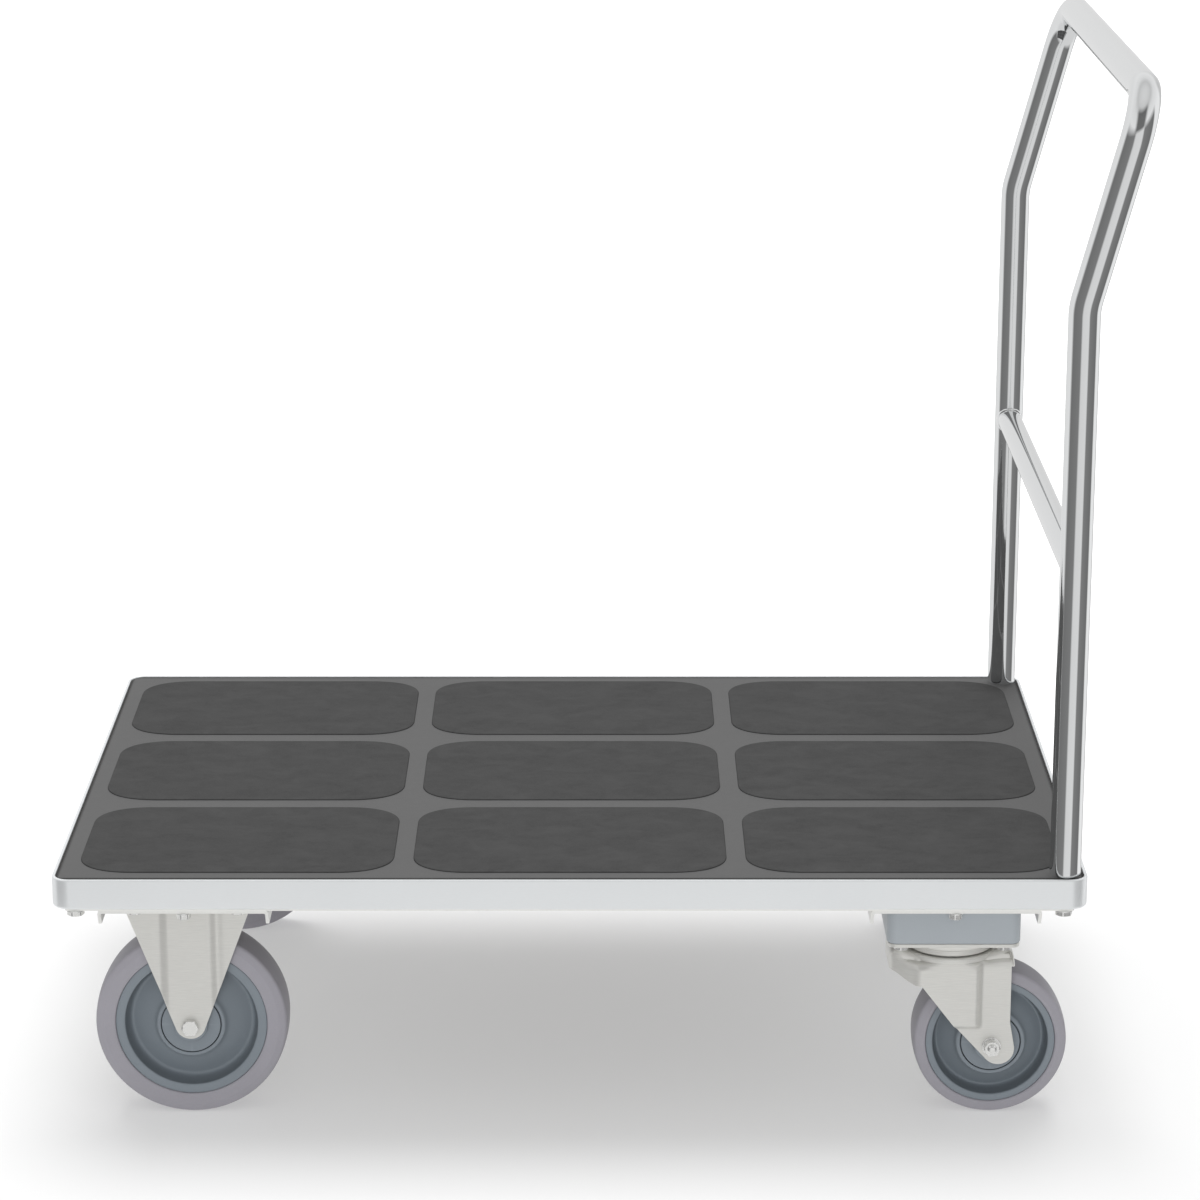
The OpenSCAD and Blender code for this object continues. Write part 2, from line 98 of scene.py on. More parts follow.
def noise(nt, vec, scale, detail=4, rough=0.55, dist=0.0):
    n = nt.nodes.new("ShaderNodeTexNoise")
    n.inputs["Scale"].default_value = scale
    n.inputs["Detail"].default_value = detail
    n.inputs["Roughness"].default_value = rough
    n.inputs["Distortion"].default_value = dist
    nt.links.new(vec, n.inputs["Vector"])
    return n.outputs["Fac"]


def ramp(nt, fac, stops):
    r = nt.nodes.new("ShaderNodeValToRGB")
    els = r.color_ramp.elements
    while len(els) > 1:
        els.remove(els[-1])
    for i, (p, c) in enumerate(stops):
        e = els[0] if i == 0 else els.new(p)
        e.position = p
        e.color = (*c, 1) if len(c) == 3 else c
    nt.links.new(fac, r.inputs["Fac"])
    return r.outputs["Color"]


def maprange(nt, fac, a, b, lo=0.0, hi=1.0):
    m = nt.nodes.new("ShaderNodeMapRange")
    m.inputs["From Min"].default_value = lo
    m.inputs["From Max"].default_value = hi
    m.inputs["To Min"].default_value = a
    m.inputs["To Max"].default_value = b
    nt.links.new(fac, m.inputs["Value"])
    return m.outputs["Result"]


def mix(nt, fac, a, b, blend="MIX"):
    m = nt.nodes.new("ShaderNodeMix")
    m.data_type = "RGBA"
    m.blend_type = blend
    for sock, v in ((m.inputs["Factor"], fac), (m.inputs["A"], a), (m.inputs["B"], b)):
        if isinstance(v, bpy.types.NodeSocket):
            nt.links.new(v, sock)
        else:
            sock.default_value = v if isinstance(v, (int, float)) else (*v, 1) if len(v) == 3 else v
    return m.outputs["Result"]


def bump(nt, bsdf, height, strength, distance=0.001, normal=None):
    b = nt.nodes.new("ShaderNodeBump")
    b.inputs["Strength"].default_value = strength
    b.inputs["Distance"].default_value = distance
    nt.links.new(height, b.inputs["Height"])
    if normal is not None:
        nt.links.new(normal, b.inputs["Normal"])
    nt.links.new(b.outputs["Normal"], bsdf.inputs["Normal"])
    return b.outputs["Normal"]


def painted_edge_highlight(nt, lo=0.52, hi=0.60):
    """Painted highlight: brighter where the surface turns sharply outward."""
    g = nt.nodes.new("ShaderNodeNewGeometry")
    return maprange(nt, g.outputs["Pointiness"], 0.0, 1.0, lo, hi)


def lin(c):
    return tuple((v / 255 / 12.92) if v / 255 <= 0.04045 else (((v / 255) + 0.055) / 1.055) ** 2.4 for v in c)


def scaled(c, k):
    return tuple(min(1.0, v * k) for v in c)


def metal(name, base, rough, rough_var=0.05, streak=(1, 1, 1), streak_scale=300, streak_amt=0.06, bump_amt=0.03, metallic=1.0, spots=0.03):
    """Plated or brushed metal: fine streaks, cloudy plating, small roughness changes."""
    mat = bpy.data.materials.new(name)
    nt, bsdf = nodes_of(mat)
    bsdf.inputs["Metallic"].default_value = metallic
    v = coords(nt, streak)
    fine = noise(nt, v, streak_scale, 5, 0.6)
    cloud = noise(nt, coords(nt), 9, 3, 0.5)
    col = ramp(nt, fine, [(0.25, scaled(base, 1 - streak_amt)), (0.75, scaled(base, 1 + streak_amt))])
    col = mix(nt, maprange(nt, cloud, 0.0, spots * 2, 0.3, 0.7), col, scaled(base, 0.80))
    # painted highlight: sharp outward edges are brightened to 1.25 times the base
    col = mix(nt, maprange(nt, painted_edge_highlight(nt), 0.0, 0.5), col, scaled(base, 1.25))
    nt.links.new(col, bsdf.inputs["Base Color"])
    mixed = nt.nodes.new("ShaderNodeMath")
    mixed.operation = "ADD"
    nt.links.new(maprange(nt, fine, rough - rough_var, rough + rough_var, 0.3, 0.7), mixed.inputs[0])
    nt.links.new(maprange(nt, cloud, -rough_var * 0.5, rough_var * 0.5, 0.3, 0.7), mixed.inputs[1])
    nt.links.new(mixed.outputs[0], bsdf.inputs["Roughness"])
    if bump_amt:
        bump(nt, bsdf, fine, bump_amt, 0.0003)
    return mat


def plastic(name, base, rough=0.45, grain=900, grain_amt=0.12, cloud_amt=0.10, spec=0.45, wall=None):
    """Moulded plastic or tyre rubber: fine skin grain, soft clouding and, when wall is given, painted shade on the
    walls that turn away from the wheel's face.
    """
    mat = bpy.data.materials.new(name)
    nt, bsdf = nodes_of(mat)
    bsdf.inputs["Specular IOR Level"].default_value = spec
    v = coords(nt)
    fine = noise(nt, v, grain, 4, 0.6)
    cloud = noise(nt, v, 14, 4, 0.55, 0.4)
    col = ramp(nt, cloud, [(0.3, scaled(base, 1 - cloud_amt)), (0.7, scaled(base, 1 + cloud_amt))])
    col = mix(nt, maprange(nt, fine, 0.0, 0.22, 0.35, 0.75), col, scaled(base, 1.22))
    # painted highlight: sharp outward edges are brightened to 1.3 times the base
    col = mix(nt, maprange(nt, painted_edge_highlight(nt), 0.0, 0.35), col, scaled(base, 1.3))
    if wall is not None:
        # painted shade: the walls that turn away from the wheel's face are darkened
        tn = nt.nodes.new("ShaderNodeTexCoord")
        sy = nt.nodes.new("ShaderNodeSeparateXYZ")
        nt.links.new(tn.outputs["Normal"], sy.inputs[0])
        ab = nt.nodes.new("ShaderNodeMath")
        ab.operation = "ABSOLUTE"
        nt.links.new(sy.outputs["Y"], ab.inputs[0])
        col = mix(nt, maprange(nt, ab.outputs[0], 1.0, 0.0, 0.15, 0.75), col, scaled(base, wall))
    nt.links.new(col, bsdf.inputs["Base Color"])
    nt.links.new(maprange(nt, cloud, rough - 0.06, rough + 0.06, 0.3, 0.7), bsdf.inputs["Roughness"])
    bump(nt, bsdf, fine, grain_amt, 0.0004)
    return mat


def sueded(name, base, lo, hi, grain, patch=3.2, rough=0.85):
    """Matt rubber with a napped, mottled face and painted shade on its side walls."""
    mat = bpy.data.materials.new(name)
    nt, bsdf = nodes_of(mat)
    bsdf.inputs["Specular IOR Level"].default_value = 0.25
    v = coords(nt)
    fine = noise(nt, v, grain, 6, 0.65)
    mid = noise(nt, v, 130, 5, 0.6)
    big = noise(nt, coords(nt, (1, 1.6, 1)), patch, 6, 0.62, 0.6)
    col = ramp(nt, big, [(0.32, scaled(base, lo)), (0.5, base), (0.68, scaled(base, hi))])
    col = mix(nt, maprange(nt, mid, 0.0, 0.35, 0.35, 0.7), col, scaled(base, hi * 1.06))
    col = mix(nt, maprange(nt, fine, 0.0, 0.5, 0.45, 0.75), col, scaled(base, hi * 1.25))
    nt.links.new(maprange(nt, big, rough - 0.06, rough + 0.05, 0.3, 0.7), bsdf.inputs["Roughness"])
    # painted shade: faces that turn away from up (the side walls) are darkened towards a quarter of the base
    gm = nt.nodes.new("ShaderNodeNewGeometry")
    sp = nt.nodes.new("ShaderNodeSeparateXYZ")
    nt.links.new(gm.outputs["Normal"], sp.inputs[0])
    nt.links.new(mix(nt, maprange(nt, sp.outputs["Z"], 0.85, 0.0, 0.25, 0.9), col, scaled(base, 0.25)), bsdf.inputs["Base Color"])
    n1 = bump(nt, bsdf, mid, 0.18, 0.0006)
    bump(nt, bsdf, fine, 0.35, 0.0004, n1)
    return mat


def plywood(name):
    mat = bpy.data.materials.new(name)
    nt, bsdf = nodes_of(mat)
    v = coords(nt, (1.0, 9.0, 60.0))
    grain = noise(nt, v, 7, 8, 0.6, 1.2)
    ply = new(nt, "ShaderNodeTexWave", wave_type="BANDS", bands_direction="Z")
    ply.inputs["Scale"].default_value = 62
    nt.links.new(coords(nt), ply.inputs["Vector"])
    col = ramp(nt, grain, [(0.25, (0.088, 0.076, 0.066)), (0.5, (0.125, 0.110, 0.098)), (0.8, (0.16, 0.142, 0.128))])
    g = nt.nodes.new("ShaderNodeNewGeometry")
    sep = nt.nodes.new("ShaderNodeSeparateXYZ")
    nt.links.new(g.outputs["Normal"], sep.inputs[0])
    ab = nt.nodes.new("ShaderNodeMath")
    ab.operation = "ABSOLUTE"
    nt.links.new(sep.outputs["Z"], ab.inputs[0])
    side = maprange(nt, ab.outputs[0], 0.6, 0.0, 0.2, 0.8)
    m = nt.nodes.new("ShaderNodeMath")
    m.operation = "MULTIPLY"
    nt.links.new(side, m.inputs[0])
    nt.links.new(ply.outputs["Fac"], m.inputs[1])
    col = mix(nt, m.outputs[0], col, (0.34, 0.24, 0.15))
    nt.links.new(col, bsdf.inputs["Base Color"])
    nt.links.new(maprange(nt, grain, 0.55, 0.8), bsdf.inputs["Roughness"])
    bump(nt, bsdf, grain, 0.2, 0.0006)
    return mat


M = {
    "bright_zinc": metal("bright_zinc", (0.83, 0.85, 0.86), 0.36, 0.03, (1, 1, 6), 160, 0.015, 0.0, metallic=0.6, spots=0.02),
    "chrome_tube": metal("chrome_tube", (0.80, 0.81, 0.815), 0.055, 0.02, (1, 1, 0.08), 260, 0.012, 0.008, spots=0.01),
    "castor_steel": metal("castor_steel", (0.70, 0.695, 0.665), 0.40, 0.07, (0.05, 0.05, 1), 1400, 0.07, 0.07, metallic=0.50, spots=0.03),
    "zinc_plate": metal("zinc_plate", (0.80, 0.80, 0.775), 0.40, 0.06, (1, 0.1, 1), 420, 0.05, 0.03, metallic=0.5, spots=0.05),
    "fastener_zinc": metal("fastener_zinc", (0.84, 0.84, 0.82), 0.24, 0.04, (1, 1, 1), 300, 0.02, 0.0, metallic=0.85, spots=0.03),
    "bearing_steel": metal("bearing_steel", (0.55, 0.55, 0.55), 0.22, 0.05, (1, 1, 1), 700, 0.04, 0.02, spots=0.03),
    "tyre": plastic("tyre", lin((152, 150, 157)), 0.55, 700, 0.10, 0.03, 0.35),
    # wall=0.58 paints shade into the walls of the hub's dish
    "wheel_centre": plastic("wheel_centre", lin((122, 130, 137)), 0.42, 1000, 0.06, 0.03, 0.5, wall=0.58),
    "spacer_block": plastic("spacer_block", lin((158, 164, 169)), 0.40, 900, 0.06, 0.03, 0.5),
    "mat_rubber": sueded("mat_rubber", lin((86, 86, 86)), 0.97, 1.03, 1400, 2.0, 0.62),
    "pad_rubber": sueded("pad_rubber", lin((63, 63, 63)), 0.80, 1.22, 800, 26.0, 0.9),
    "plywood": plywood("plywood"),
}

for row in frame["record"]["subparts"]:
    ob = NODES[row["node"]]
    ob.data.materials.clear()
    ob.data.materials.append(M[row["material_slot"]])
    ob.data.shade_smooth()
    ob.data.set_sharp_from_angle(angle=math.radians(28))


# ---------------------------------------------------------------- mesh helpers (millimetres in, metres out)
class Shape:
    def __init__(self):
        self.v, self.f, self.flat = [], [], set()

    def add(self, verts, faces, flat=()):
        b = len(self.v)
        self.v.extend([tuple(p) for p in verts])
        for i, f in enumerate(faces):
            if i in flat:
                self.flat.add(len(self.f))
            self.f.append([b + k for k in f])
        return b

    def loft(self, loops, closed=True, caps=(False, False), wrap=False):
        """Quads between loops of equal length. wrap joins the last loop to the first."""
        n, m = len(loops[0]), len(loops)
        verts = [p for lp in loops for p in lp]
        faces, flat = [], []
        last = m if wrap else m - 1
        for i in range(last):
            a, b = i * n, ((i + 1) % m) * n
            for k in range(n if closed else n - 1):
                k2 = (k + 1) % n
                faces.append([a + k, a + k2, b + k2, b + k])
        if caps[0]:
            flat.append(len(faces))
            faces.append(list(range(n))[::-1])
        if caps[1]:
            flat.append(len(faces))
            faces.append([(m - 1) * n + k for k in range(n)])
        return self.add(verts, faces, flat)

    def make(self, name, body, replaces, slot, sharp=32, centred=True):
        me = bpy.data.meshes.new(name)
        off = DX if centred else 0.0
        me.from_pydata([(x / 1000 + off, y / 1000, z / 1000) for x, y, z in self.v], [], self.f)
        bm = bmesh.new()
        bm.from_mesh(me)
        bmesh.ops.remove_doubles(bm, verts=bm.verts, dist=1e-7)
        bmesh.ops.recalc_face_normals(bm, faces=bm.faces)
        bm.to_mesh(me)
        bm.free()
        me.shade_smooth()
        me.set_sharp_from_angle(angle=math.radians(sharp))
        ob = bpy.data.objects.new(name, me)
        scene.collection.objects.link(ob)
        me.materials.append(M[slot])
        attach(ob, body)
        if replaces:
            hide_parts(*replaces)
        return ob


def bevel(ob, width, segments=2, angle=40):
    m = ob.modifiers.new("edge", "BEVEL")
    m.width = width / 1000
    m.segments = segments
    m.limit_method = "ANGLE"
    m.angle_limit = math.radians(angle)
    m.harden_normals = False
    return ob


def rrect(l, w, r, seg=10, side=1, cx=0.0, cy=0.0):
    """Points round a rounded rectangle, each straight side cut into `side` lengths."""
    r = max(r, 0.01)
    pts = []
    for qx, qy, a0 in ((1, 1, 0), (-1, 1, 90), (-1, -1, 180), (1, -1, 270)):
        ox, oy = qx * (l / 2 - r), qy * (w / 2 - r)
        arc = [(ox + r * math.cos(math.radians(a0 + 90 * k / seg)), oy + r * math.sin(math.radians(a0 + 90 * k / seg))) for k in range(seg + 1)]
        pts.append(arc)
    out = []
    for i in range(4):
        out.extend(pts[i])
        a, b = pts[i][-1], pts[(i + 1) % 4][0]
        for k in range(1, side):
            t = k / side
            out.append((a[0] + (b[0] - a[0]) * t, a[1] + (b[1] - a[1]) * t))
    return [(x + cx, y + cy) for x, y in out]


def slab(sh, l, w, r, z0, z1, e, cx=0.0, cy=0.0, seg=10, side=1, n=4):
    """Solid rounded block with every edge rounded to radius e."""
    prof = []
    for k in range(n + 1):
        a = math.radians(90 * k / n)
        prof.append((e - e * math.sin(a), z0 + e - e * math.cos(a)))
    for k in range(n + 1):
        a = math.radians(90 * k / n)
        prof.append((e - e * math.cos(a), z1 - e + e * math.sin(a)))
    prof = [(e + 0.4, z0)] + prof + [(e + 0.4, z1)]
    loops = [[(x, y, z) for x, y in rrect(l - 2 * i, w - 2 * i, r - i, seg, side, cx, cy)] for i, z in prof]
    sh.loft(loops, caps=(True, True))


def lathe(sh, prof, centre, n=96, closed=True, flip=1):
    """Turns (radius, y) points about the Y axis through centre."""
    cx, cy, cz = centre
    loops = []
    for k in range(n):
        a = 2 * math.pi * k / n
        loops.append([(cx + r * math.cos(a), cy + flip * y, cz + r * math.sin(a)) for r, y in prof])
    sh.loft(loops, closed=closed, wrap=True)


def lathe_z(sh, prof, centre, n=72, closed=True):
    cx, cy = centre
    loops = []
    for k in range(n):
        a = 2 * math.pi * k / n
        loops.append([(cx + r * math.cos(a), cy + r * math.sin(a), z) for r, z in prof])
    sh.loft(loops, closed=closed, wrap=True)


def arc(cx, cy, r, a0, a1, n):
    return [(cx + r * math.cos(math.radians(a0 + (a1 - a0) * k / n)), cy + r * math.sin(math.radians(a0 + (a1 - a0) * k / n))) for k in range(n + 1)]


def sm(t):
    t = np.clip(t, 0, 1)
    return t * t * (3 - 2 * t)


def rounded_profile(pts, radii, n=5):
    """Closed polygon with its corners rounded: radii per corner."""
    out = []
    m = len(pts)
    for i in range(m):
        p = np.array(pts[i], float)
        a, b = np.array(pts[i - 1], float) - p, np.array(pts[(i + 1) % m], float) - p
        la, lb = np.linalg.norm(a), np.linalg.norm(b)
        r = radii[i] if hasattr(radii, "__len__") else radii
        if r <= 0:
            out.append(tuple(p))
            continue
        a, b = a / la, b / lb
        ang = math.acos(max(-1, min(1, float(a @ b))))
        d = min(r / math.tan(ang / 2), la * 0.49, lb * 0.49)
        rr = d * math.tan(ang / 2)
        c = p + (a + b) / np.linalg.norm(a + b) * (rr / math.sin(ang / 2))
        s, e = p + a * d, p + b * d
        a0, a1 = math.atan2(*(s - c)[::-1]), math.atan2(*(e - c)[::-1])
        da = (a1 - a0 + math.pi) % (2 * math.pi) - math.pi
        for k in range(n + 1):
            t = a0 + da * k / n
            out.append((c[0] + rr * math.cos(t), c[1] + rr * math.sin(t)))
    return out


# ---------------------------------------------------------------- camera
cam = bpy.data.objects.new("camera", bpy.data.cameras.new("camera"))
scene.collection.objects.link(cam)
scene.camera = cam
cam.data.sensor_width = 36
cam.data.lens = 3884.44 * 36 / 1200
cam.data.clip_start, cam.data.clip_end = 0.1, 60
cam.location = (30.8 / 1000 + DX, -4.0388, 1.6370)
cam.rotation_mode = "XYZ"
cam.rotation_euler = (math.radians(90 - 16.068), 0, 0)

# ---------------------------------------------------------------- deck
# Rim: rolled angle with soft outer edges, swept round the deck
s = Shape()
t, leg = 3.5, 32.0
prof = rounded_profile(
    [(0, RIM_Z1), (0, RIM_Z0), (leg, RIM_Z0), (leg, RIM_Z0 + t), (t, RIM_Z0 + t), (t, RIM_Z1)],
    [1.7, 3.0, 0.8, 0.8, 1.5, 1.2], 5)
loops = []
for d, z in prof:
    loops.append([(x, y, z) for x, y in rrect(DECK_L - 2 * d, DECK_W - 2 * d, max(19 - d, 1.5), 14)])
s.loft(loops, wrap=True)
s.make("rim", "platform", ["rim_frame"], "bright_zinc", 40)

# Mat: sheet with a rounded edge, let in just under the rim's top
s = Shape()
slab(s, DECK_L - 2 * t - 2.0, DECK_W - 2 * t - 2.0, 14.6, MAT_Z0, MAT_Z1, 0.6)
s.make("mat", "platform", ["deck_mat"], "mat_rubber", 40)
# painted shade: a dark band round the sheet's border, next to the rim
mm = M["mat_rubber"].node_tree
mb = next(n for n in mm.nodes if n.type == "BSDF_PRINCIPLED")
mcol = mb.inputs["Base Color"].links[0].from_socket
mc = mm.nodes.new("ShaderNodeTexCoord")
ms = mm.nodes.new("ShaderNodeSeparateXYZ")
mm.links.new(mc.outputs["Object"], ms.inputs[0])
for ax_, off, half, wide in (("X", DX, DECK_L / 2000, 0.0066), ("Y", 0.0, DECK_W / 2000, 0.0085)):
    sb = mm.nodes.new("ShaderNodeMath")
    sb.operation = "SUBTRACT"
    sb.inputs[1].default_value = off
    mm.links.new(ms.outputs[ax_], sb.inputs[0])
    av = mm.nodes.new("ShaderNodeMath")
    av.operation = "ABSOLUTE"
    mm.links.new(sb.outputs[0], av.inputs[0])
    mcol = mix(mm, maprange(mm, av.outputs[0], 0.0, 0.88, half - wide - 0.0015, half - wide + 0.0010), mcol, lin((34, 34, 34)))
mm.links.new(mcol, mb.inputs["Base Color"])

# Pads: raised, softly crowned, with rounded shoulders
pad_lo, pad_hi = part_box("mat_pads")
PL, PW = 321.5, 201.4
RX, RY = 60.0, 49.0


def pad_loop(inset, q=1.0):
    """Plan of one pad, its corners quarter ellipses a little fuller than round."""
    pts = []
    rx, ry = RX - inset, RY - inset
    for qx, qy, a0 in ((1, 1, 0), (-1, 1, 90), (-1, -1, 180), (1, -1, 270)):
        ox, oy = qx * (PL / 2 - RX), qy * (PW / 2 - RY)
        for k in range(15):
            a = math.radians(a0 + 90 * k / 14)
            ca, sa = math.cos(a), math.sin(a)
            f = (abs(ca) ** 2.3 + abs(sa) ** 2.3) ** (-1 / 2.3)
            pts.append(((ox + rx * f * ca) * q, (oy + ry * f * sa) * q))
        nxt = {0: (-1, 1), 90: (-1, -1), 180: (1, -1), 270: (1, 1)}[a0]
        x0, y0 = pts[-1]
        if a0 in (0, 180):
            x1, y1 = (nxt[0] * (PL / 2 - RX)) * q, y0
        else:
            x1, y1 = x0, (nxt[1] * (PW / 2 - RY)) * q
        for k in range(1, 10):
            pts.append((x0 + (x1 - x0) * k / 10, y0 + (y1 - y0) * k / 10))
    return pts


PX = ((pad_hi.x - pad_lo.x) * 1000 - PL) / 2
PY = ((pad_hi.y - pad_lo.y) * 1000 - PW) / 2
s = Shape()
for i in (-1, 0, 1):
    for j in (-1, 0, 1):
        c = (i * PX, j * PY)
        e = 1.5
        prof = [(0.25, MAT_Z1)] + [(e - e * math.cos(math.radians(a)), PAD_Z1 - 0.35 - e + 0.15 + (e - 0.15) * math.sin(math.radians(a))) for a in (0, 18, 36, 54, 72, 90)]
        loops = [[(c[0] + x, c[1] + y, z) for x, y in pad_loop(d)] for d, z in prof]
        base = pad_loop(e)
        for q in (0.985, 0.95, 0.9, 0.8, 0.65, 0.45, 0.2):
            z = PAD_Z1 - 0.35 + 0.35 * float(sm((1 - q) / 0.35))
            loops.append([(c[0] + x * q, c[1] + y * q, z) for x, y in base])
        s.loft(loops, caps=(True, True))
s.make("pads", "platform", ["mat_pads"], "pad_rubber", 50)

# ---------------------------------------------------------------- handle
TR = 16.0
LX = DECK_L / 2 - 22.3
LY = DECK_W / 2 - 22.0
GZ = grip_hi.z * 1000 - TR
GX = (grip_hi.x - DX) * 1000 - TR
KZ = GZ - (GX - LX) / math.tan(math.radians(15))
board_top = MAT_Z0


def handle_path():
    lean = math.radians(15)
    kr, gr = 70.0, 50.0
    up = np.array([math.sin(lean), 0, math.cos(lean)])
    kink = np.array([LX, 0, KZ])
    d = kr * math.tan(lean / 2)
    pts = [(LX, LY, board_top), (LX, LY, board_top + 8), (LX, LY, 500.0), (LX, LY, KZ - d - 30)]
    for k in range(11):
        a = lean * k / 10
        pts.append((LX + kr * (1 - math.cos(a)), LY, KZ - d + kr * math.sin(a)))
    L = (GZ - KZ) / math.cos(lean)
    corner = kink + up * (L - gr)
    pts.append(tuple(kink + up * (d + 30) + np.array([0, LY, 0])))
    pts.append(tuple(corner - up * 12 + np.array([0, LY, 0])))
    for k in range(25):
        a = math.pi / 2 * k / 24
        p = corner + up * gr * math.sin(a) + np.array([0, LY - gr * (1 - math.cos(a)), 0])
        pts.append(tuple(p))
    half = pts + [(GX, LY - gr - 40, GZ), (GX, 80, GZ)]
    return half + [(x, -y, z) for x, y, z in half[::-1]]


def tube(sh, path, r, n=64, inner=None):
    P = np.array(path, float)
    T = np.gradient(P, axis=0)
    T[1:-1] = (P[2:] - P[1:-1]) / np.linalg.norm(P[2:] - P[1:-1], axis=1)[:, None] + (P[1:-1] - P[:-2]) / np.linalg.norm(P[1:-1] - P[:-2], axis=1)[:, None]
    T /= np.linalg.norm(T, axis=1)[:, None]
    u = np.array([1.0, 0, 0]) if abs(T[0][0]) < 0.9 else np.array([0, 1.0, 0])
    frames = []
    for tt in T:
        u = u - tt * (u @ tt)
        u /= np.linalg.norm(u)
        frames.append((u.copy(), np.cross(tt, u)))

    def ring(i, rad):
        a, b = frames[i]
        return [tuple(P[i] + rad * (math.cos(q) * a + math.sin(q) * b)) for q in (2 * math.pi * k / n for k in range(n))]
    if inner is None:
        sh.loft([ring(i, r) for i in range(len(P))], caps=(True, True))
    else:
        # outer wall, inner wall and a flat ring at each foot, closed on itself
        fwd = [ring(i, r) for i in range(len(P))]
        back = [ring(i, inner) for i in range(len(P) - 1, -1, -1)]
        sh.loft(fwd + back, wrap=True)


s = Shape()
tube(s, handle_path(), TR, 72, TR - 2)
s.make("handle_bar", "platform", ["handle_tube"], "chrome_tube", 50)

# Cross brace, coped on to the legs, with a fillet weld round each end
BZ = middle("handle_brace").z * 1000
BR = 13.5
s = Shape()
n = 64
loops = []
ends = {}
for j in (-1, 1):
    lp = []
    for k in range(n):
        a = 2 * math.pi * k / n
        x, z = BR * math.cos(a), BR * math.sin(a)
        y = j * (LY - math.sqrt(TR * TR - x * x) + 0.2)
        lp.append((LX + x, y, BZ + z))
    ends[j] = lp
mids = []
for q in (0.0, 0.02, 0.25, 0.5, 0.75, 0.98, 1.0):
    mids.append([tuple(np.array(ends[-1][k]) * (1 - q) + np.array(ends[1][k]) * q) for k in range(n)])
inner = []
for q in (1.0, 0.0):
    lp = []
    for k in range(n):
        p = np.array(ends[-1][k]) * (1 - q) + np.array(ends[1][k]) * q
        lp.append((LX + (p[0] - LX) * 0.85, p[1], BZ + (p[2] - BZ) * 0.85))
    inner.append(lp)
s.loft(mids + inner, wrap=True)
for j in (-1, 1):
    rings = []
    for ph in range(8):
        b = 2 * math.pi * ph / 8
        lp = []
        for k in range(n):
            a = 2 * math.pi * k / n
            wob = 1.0 + 0.07 * math.sin(13 * a) + 0.05 * math.sin(29 * a + j)
            rr = BR + 0.3 + 1.5 * wob * math.cos(b)
            x, z = rr * math.cos(a), rr * math.sin(a)
            xx = max(-15.4, min(15.4, x))
            y = j * (LY - math.sqrt(TR * TR - xx * xx) - 0.2 + 1.4 * wob * math.sin(b))
            lp.append((LX + xx, y, BZ + z))
        rings.append(lp)
    s.loft(rings, wrap=True)
s.make("handle_cross_brace", "platform", ["handle_brace"], "chrome_tube", 50)

# ---------------------------------------------------------------- wheels
def tyre_profile(R, ri, h=25.0):
    half = [(ri, h - 1.7), (ri + 0.35, h - 0.8), (ri + 1.1, h - 0.25), (ri + 2.2, h), (R - 10.0, h), (R - 9.0, h - 0.05), (R - 8.2, h - 0.35)]
    half += arc(R - 5.2, h - 5.6, 4.4, 74, 16, 7)
    half += [(R - 0.55, h * 0.62), (R - 0.22, h * 0.40), (R - 0.05, h * 0.2), (R, 0)]
    return half + [(r, -y) for r, y in half[:-1][::-1]]


def hub_profile(ri, ring, h=25.0, boss=27.0):
    web = 5.5
    half = [(20.5, 0), (20.5, 11), (23.5, 11), (23.5, 19.0), (31.5, 19.0), (31.5, boss - 0.6), (31.9, boss - 0.15), (32.5, boss), (33.8, boss), (34.9, boss - 0.5), (35.7, boss - 1.6)]
    m = 36
    for k in range(m + 1):
        q = k / m
        rr = 36.0 + (ring - 36.0) * q
        # rounded shoulder at the boss, a cone down to the foot of the ring, then steeply up to the ring
        up = (boss - 3.6 - web) * max(0.0, 1 - q / 0.94) ** 1.45 + 1.6 * math.exp(-q / 0.05)
        y = web + up + (h - 4.2 - web) * max(0.0, (q - 0.76) / 0.24) ** 2.3
        half.append((rr, min(y, boss - 2.0)))
    half += [(ring + 0.2, h - 3.0), (ring + 0.7, h - 2.0), (ring + 1.6, h - 1.6), (ri - 1.4, h - 1.6), (ri - 0.5, h - 1.8), (ri - 0.1, h - 2.4)]
    return half + [(r, -y) for r, y in half[1:][::-1]]


def cap_profile(out=30.5):
    b = 27.0
    return rounded_profile([(12.5, b - 2.2), (out, b - 2.2), (out, b), (12.5, b)], [0, 0.3, 0.6, 0.4], 3)


def sleeve_profile(gap):
    a = 27.3
    half = [(5.2, gap), (16.9, gap), (17.5, gap - 0.6), (17.5, a + 0.5), (17.0, a), (10.0, a), (10.0, 0)]
    return half + [(r, -y) for r, y in half[:-1][::-1]]


for name, R in (("fixed_left", 100.0), ("fixed_right", 100.0), ("swivel_left", 80.0), ("swivel_right", 80.0)):
    c = middle(name + "_tyre")
    ctr = ((c.x - DX) * 1000, c.y * 1000, c.z * 1000)
    fixed = name.startswith("fixed")
    ri, ring = (78.6, 68.5) if fixed else (67.2, 59.52)
    wheel = name + "_wheel"
    holder = "platform" if fixed else name + "_swivel"
    s = Shape()
    lathe(s, tyre_profile(R, ri), ctr, 144)
    s.make(name + "_rubber_tyre", wheel, [name + "_tyre"], "tyre", 60)
    s = Shape()
    lathe(s, hub_profile(ri, ring), ctr, 144)
    s.make(name + "_wheel_centre", wheel, [name + "_hub"], "wheel_centre", 40)
    s = Shape()
    for f in (-1, 1):
        lathe(s, cap_profile(), ctr, 96, flip=f)
    s.make(name + "_bearing_caps", wheel, [name + "_caps"], "wheel_centre", 40)
    s = Shape()
    lathe(s, sleeve_profile(30.5 if fixed else 34.5), ctr, 72)
    s.make(name + "_sleeve", holder, [name + "_axle_sleeve"], "wheel_centre", 40)

